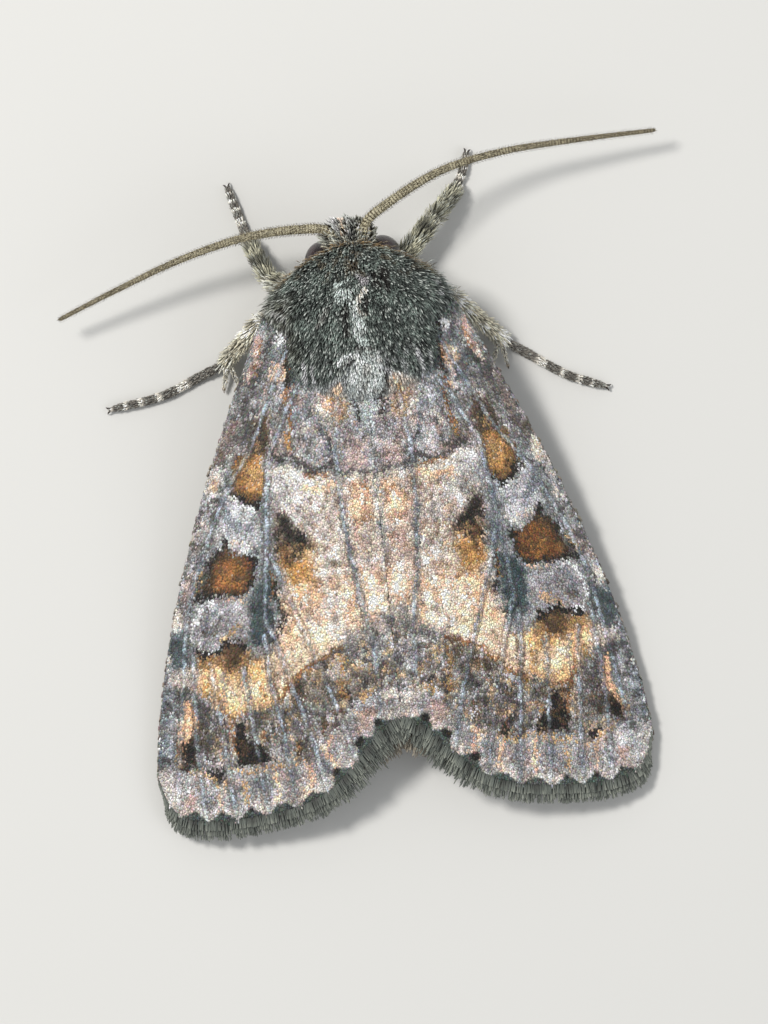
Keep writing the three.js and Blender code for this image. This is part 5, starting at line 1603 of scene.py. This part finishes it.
t, w, roots, along, outward = rooted(head_skin, HEAD_HAIR["gap"], HEAD_SEED)
eye_middles = [np.array([sign * EYE["out"], -EYE["back"], EYE["height"]]) for side, sign in SIDES]
from_eye = np.min([np.linalg.norm(roots - middle, axis=1) for middle in eye_middles], axis=0)
kept = (from_eye > EYE["radius"] + 0.02) & (roots[:, 1] > HEAD_HAIR_END)
t, w, roots, along, outward, from_eye = only(kept, t, w, roots, along, outward, from_eye)
number = len(t)
by_eye = 1 - smooth(from_eye, EYE["radius"], EYE["radius"] + 0.25)
tuft = smooth(roots[:, 2], 3.3, 3.9) * smooth(roots[:, 1], -1.2, -0.5)
forward = np.stack([0.9 * roots[:, 0] - 0.25, 0.45 + 0 * tuft, 0.7 + 0 * tuft], -1)
lie = blended(-along, forward, (0.35 + 0.65 * tuft)[:, None])
lie = unit(lie + 0.25 * hair_rng.normal(size=(number, 3)))
shades = head_tints(roots[:, 0] + 0.3 * lie[:, 0], -roots[:, 1] - 0.3 * lie[:, 1], HEAD_SEED)
shades = shades * (1 + 0.25 * hair_rng.normal(size=(number, 1)))
shades = shaded(shades, SHADES["umber"], 0.6 * by_eye)
length = HEAD_HAIR["length"] * hair_rng.uniform(0.7, 1.2, number) * blended(1.0, 0.3, by_eye)
length = length * blended(0.8, 1.0 + 0.5 * smooth(-roots[:, 0], 0.1, 0.6), tuft)
places = np.stack([0.02 + 0.46 * w, 0.02 + 0.96 * t], -1)
tips = flecked(shades, 82, share=0.5, strength=0.9)
# Painted shade: the roots take 0.7 of the shade, deep in the hair.
head_parts = [strands(roots, lie, outward, length, HEAD_HAIR["width"], np.radians(HEAD_HAIR["lean"]),
                      0.7 * shades, tips, places, droop=0.1)]
for number_of_side, surface in enumerate(palp_skins.values()):
    t, w, roots, along, outward = rooted(surface, PALP_HAIR["gap"], 83 + number_of_side, girth_wise=25)
    shades = np.array([0.34, 0.31, 0.27]) * (1 + 0.2 * hair_rng.normal(size=(len(t), 1)))
    places = np.stack([0.52 + 0.22 * number_of_side + 0.2 * w, 0.02 + 0.96 * t], -1)
    length = PALP_HAIR["length"] * hair_rng.uniform(0.7, 1.2, len(t))
    tips = flecked(shades, 85, share=0.3)
    # Painted shade: the roots take 0.75 of the shade, deep in the hair.
    head_parts.append(strands(roots, along, outward, length, PALP_HAIR["width"],
                              np.radians(PALP_HAIR["lean"]), 0.75 * shades, tips, places, droop=0.1))
coat("head_hair", head_parts, hair_material)

# ---- Feelers ------------------------------------------------------------------------------
# Long threads of a hundred short joints each, swept out to the sides. They are brown, with a
# ring of pale scales on the upper side of every joint and fine bristles under it.

FEELER_RADII = (0.2, 0.085)
FEELER_JOINTS = 105
FEELER_POINTS = {
    "right": [(0.5, -0.45, 4.1), (0.72, 0.2, 4.35), (1.5, 0.75, 4.25), (3.8, 1.9, 3.6),
              (6.3, 2.45, 2.95), (9.5, 2.66, 2.3), (12.6, 2.75, 1.76)],
    "left": [(-0.5, -0.6, 4.1), (-0.95, -0.02, 4.35), (-2.0, 0.14, 4.15), (-4.2, 0.08, 3.55),
             (-6.8, -0.48, 2.9), (-9.4, -1.35, 2.3), (-12.0, -2.33, 1.76)],
}


def feeler_girth(t):
    """A thick first joint, then rings that swell towards the far end of every joint."""
    joint = (FEELER_JOINTS * t) % 1
    scape = 1 + 0.45 * (1 - smooth(t, 0.025, 0.04))
    return tapered(FEELER_RADII)(t) * scape * (0.9 + 0.16 * joint**2)


def feeler_tints(t, on_top):
    """Brown, with a ring of pale scales on the upper side of each joint, fainter towards the tip."""
    ring = smooth((FEELER_JOINTS * t) % 1, 0.35, 0.6) * on_top * (1 - 0.5 * t)
    return shaded([0.33, 0.29, 0.21], [0.74, 0.71, 0.60], ring)


FEELER_RINGS = 5 * FEELER_JOINTS
FEELER_SIDES = 12
feeler_material = tinted_material(
    "feeler", roughness=0.5, specular=0.4, grain=0.06, mottle=0.15, bump=0.006, sheen=0.05
)
for side in ("right", "left"):
    way = route_through(FEELER_POINTS[side])
    surface = limb(way, feeler_girth, bluntness=120)
    points, faces = closed_grid(surface, FEELER_RINGS, FEELER_SIDES)
    t = np.append(np.repeat(ring_places(FEELER_RINGS)[1:-1], FEELER_SIDES), [0, 1])
    w = np.append(np.tile(np.arange(FEELER_SIDES) / FEELER_SIDES, FEELER_RINGS), [0, 0])
    tints = feeler_tints(t, smooth(np.cos(2 * np.pi * w), 0.0, 0.7))
    feeler = make_piece(f"feeler_{side}", points, faces, feeler_material, tints)
    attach(feeler, "root")
    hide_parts(f"antenna_{side}")

    whole_way = np.linalg.norm(np.diff(way(np.linspace(0, 1, 400)), axis=0), axis=1).sum()
    t, w, roots, along, outward = rooted(surface, whole_way / (2 * FEELER_JOINTS), 91, girth_wise=13)
    below = 1 - smooth(outward[:, 2], 0.2, 0.4)
    shades = feeler_tints(t, 1 - below) * (1 + 0.12 * np.random.default_rng(92).normal(size=(len(t), 1)))
    length, width = blended(0.075, 0.12, below), blended(0.05, 0.025, below)
    lean = np.radians(blended(8.0, 60.0, below))
    # Painted shade: the bristles' roots take 0.85 of the shade.
    part = strands(roots, along, outward, length, width, lean, 0.85 * shades, shades,
                   np.stack([w, t], -1) * 0.96, droop=0.05)
    coat(f"feeler_bristles_{side}", [part], feeler_material)

# ---- Abdomen: scales ----------------------------------------------------------------------
# Soft flat scales in rings, grey-brown, buff along the belly, and a brush of hair at the tip.
# Nearly all of it lies hidden under the wings and shows only from below.

ABDOMEN_HAIR = dict(gap=0.19, length=0.5, width=0.17)
TRUNK_END = -6.6  # ahead of this the trunk covers the abdomen's back

t, w, roots, along, outward = rooted(abdomen_skin, ABDOMEN_HAIR["gap"], 101)
kept = (roots[:, 1] < TRUNK_END) | (outward[:, 2] < 0.3)
t, w, roots, along, outward = only(kept, t, w, roots, along, outward)
shades = abdomen_tints(t, smooth(-outward[:, 2], -0.2, 0.7))
shades = shades * (1 + 0.12 * np.random.default_rng(102).normal(size=(len(t), 1)))
brush = smooth(t, 0.86, 0.97)
length = ABDOMEN_HAIR["length"] * blended(1.0, 2.0, brush)
lean = np.radians(blended(20.0, 12.0, brush))
# Painted shade: the roots take 0.8 of the shade, deep in the coat.
part = strands(roots, along, outward, length, ABDOMEN_HAIR["width"], lean, 0.8 * shades,
               flecked(shades, 103, share=0.2), spread(w, t), droop=0.12, stations=LONG_SCALE)
coat("abdomen_hair", [part], hair_material)

# ---- Legs: hair and scales ----------------------------------------------------------------
# Long shaggy scales on thighs and shins, grey with pale ends, and short flat ones on the five
# joints of each foot and on the spurs, grey-brown with a pale ring at the end of every joint.

LEG_HAIR = {
    "femur": dict(gap=0.085, length=0.54, width=0.06, lean=28),
    "tibia": dict(gap=0.08, length=0.48, width=0.06, lean=26),
    "tarsus": dict(gap=0.065, length=0.16, width=0.06, lean=14),
    "spur": dict(gap=0.075, length=0.16, width=0.06, lean=12),
}
leg_rng = np.random.default_rng(111)
shaggy_parts, foot_parts = [], []
for number_of_limb, ((leg, part_name), surface) in enumerate(limb_skins.items()):
    kind = part_name.split("_")[0]
    hair = LEG_HAIR[kind]
    t, w, roots, along, outward = rooted(surface, hair["gap"], 112 + number_of_limb, girth_wise=25)
    number = len(t)
    mottle = cloud(roots[:, 0], -roots[:, 1], LEG_MOTTLE["size"], LEG_MOTTLE["seed"])
    shades = limb_tints(leg, kind, t, mottle)
    shades = shades * (1 + 0.15 * leg_rng.normal(size=(number, 1)))
    lie = unit(along + 0.12 * leg_rng.normal(size=(number, 3)))
    length = hair["length"] * leg_rng.uniform(0.75, 1.15, number)
    row, column = divmod(number_of_limb, 6)
    places = np.stack([(column + 0.05 + 0.9 * w) / 6, (row + 0.05 + 0.9 * t) / 5], -1)
    # Painted shade: the roots take 0.78 of the shade, deep in the hair.
    part = strands(roots, lie, outward, length, hair["width"], np.radians(hair["lean"]),
                   0.78 * shades, flecked(shades, 113, share=0.25), places, droop=0.12)
    part[0][:, 2] = np.maximum(part[0][:, 2], LEAST_HEIGHT)
    (foot_parts if kind in ("tarsus", "spur") else shaggy_parts).append(part)
coat("leg_hair", shaggy_parts, hair_material)
coat("foot_scales", foot_parts, hair_material)

# ---- Claws --------------------------------------------------------------------------------
# A pair of small dark horny hooks at the end of every foot, curved down on to the ground.

CLAW_RADII = (0.06, 0.012)

claw_parts = []
for joints in LEGS.values():
    bend, tip = (np.array([*point, FOOT_AXIS]) for point in joints[3:])
    ahead = unit(tip - bend)
    for turn in (-0.5, 0.5):
        aside = np.array([-ahead[1], ahead[0], 0.0]) * turn
        start = tip - 0.12 * ahead
        middle = tip + 0.08 * ahead + 0.16 * aside + [0, 0, 0.02]
        end = tip + 0.16 * ahead + 0.3 * aside - [0, 0, 0.17]
        hook = limb(route_through([start, middle, end]), tapered(CLAW_RADII))
        claw_parts.append(closed_grid(hook, rings=14, sides=8))
claw_material = tinted_material("claw", roughness=0.3, specular=0.5, grain=0.1, mottle=0.2, bump=0.004)
claw_points, claw_faces = joined(claw_parts)
claw_points[:, 2] = np.maximum(claw_points[:, 2], LEAST_HEIGHT)
claw_tints = np.zeros(claw_points.shape) + [0.14, 0.10, 0.07]
claws = make_piece("claws", claw_points, claw_faces, claw_material, claw_tints)
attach(claws, "root")
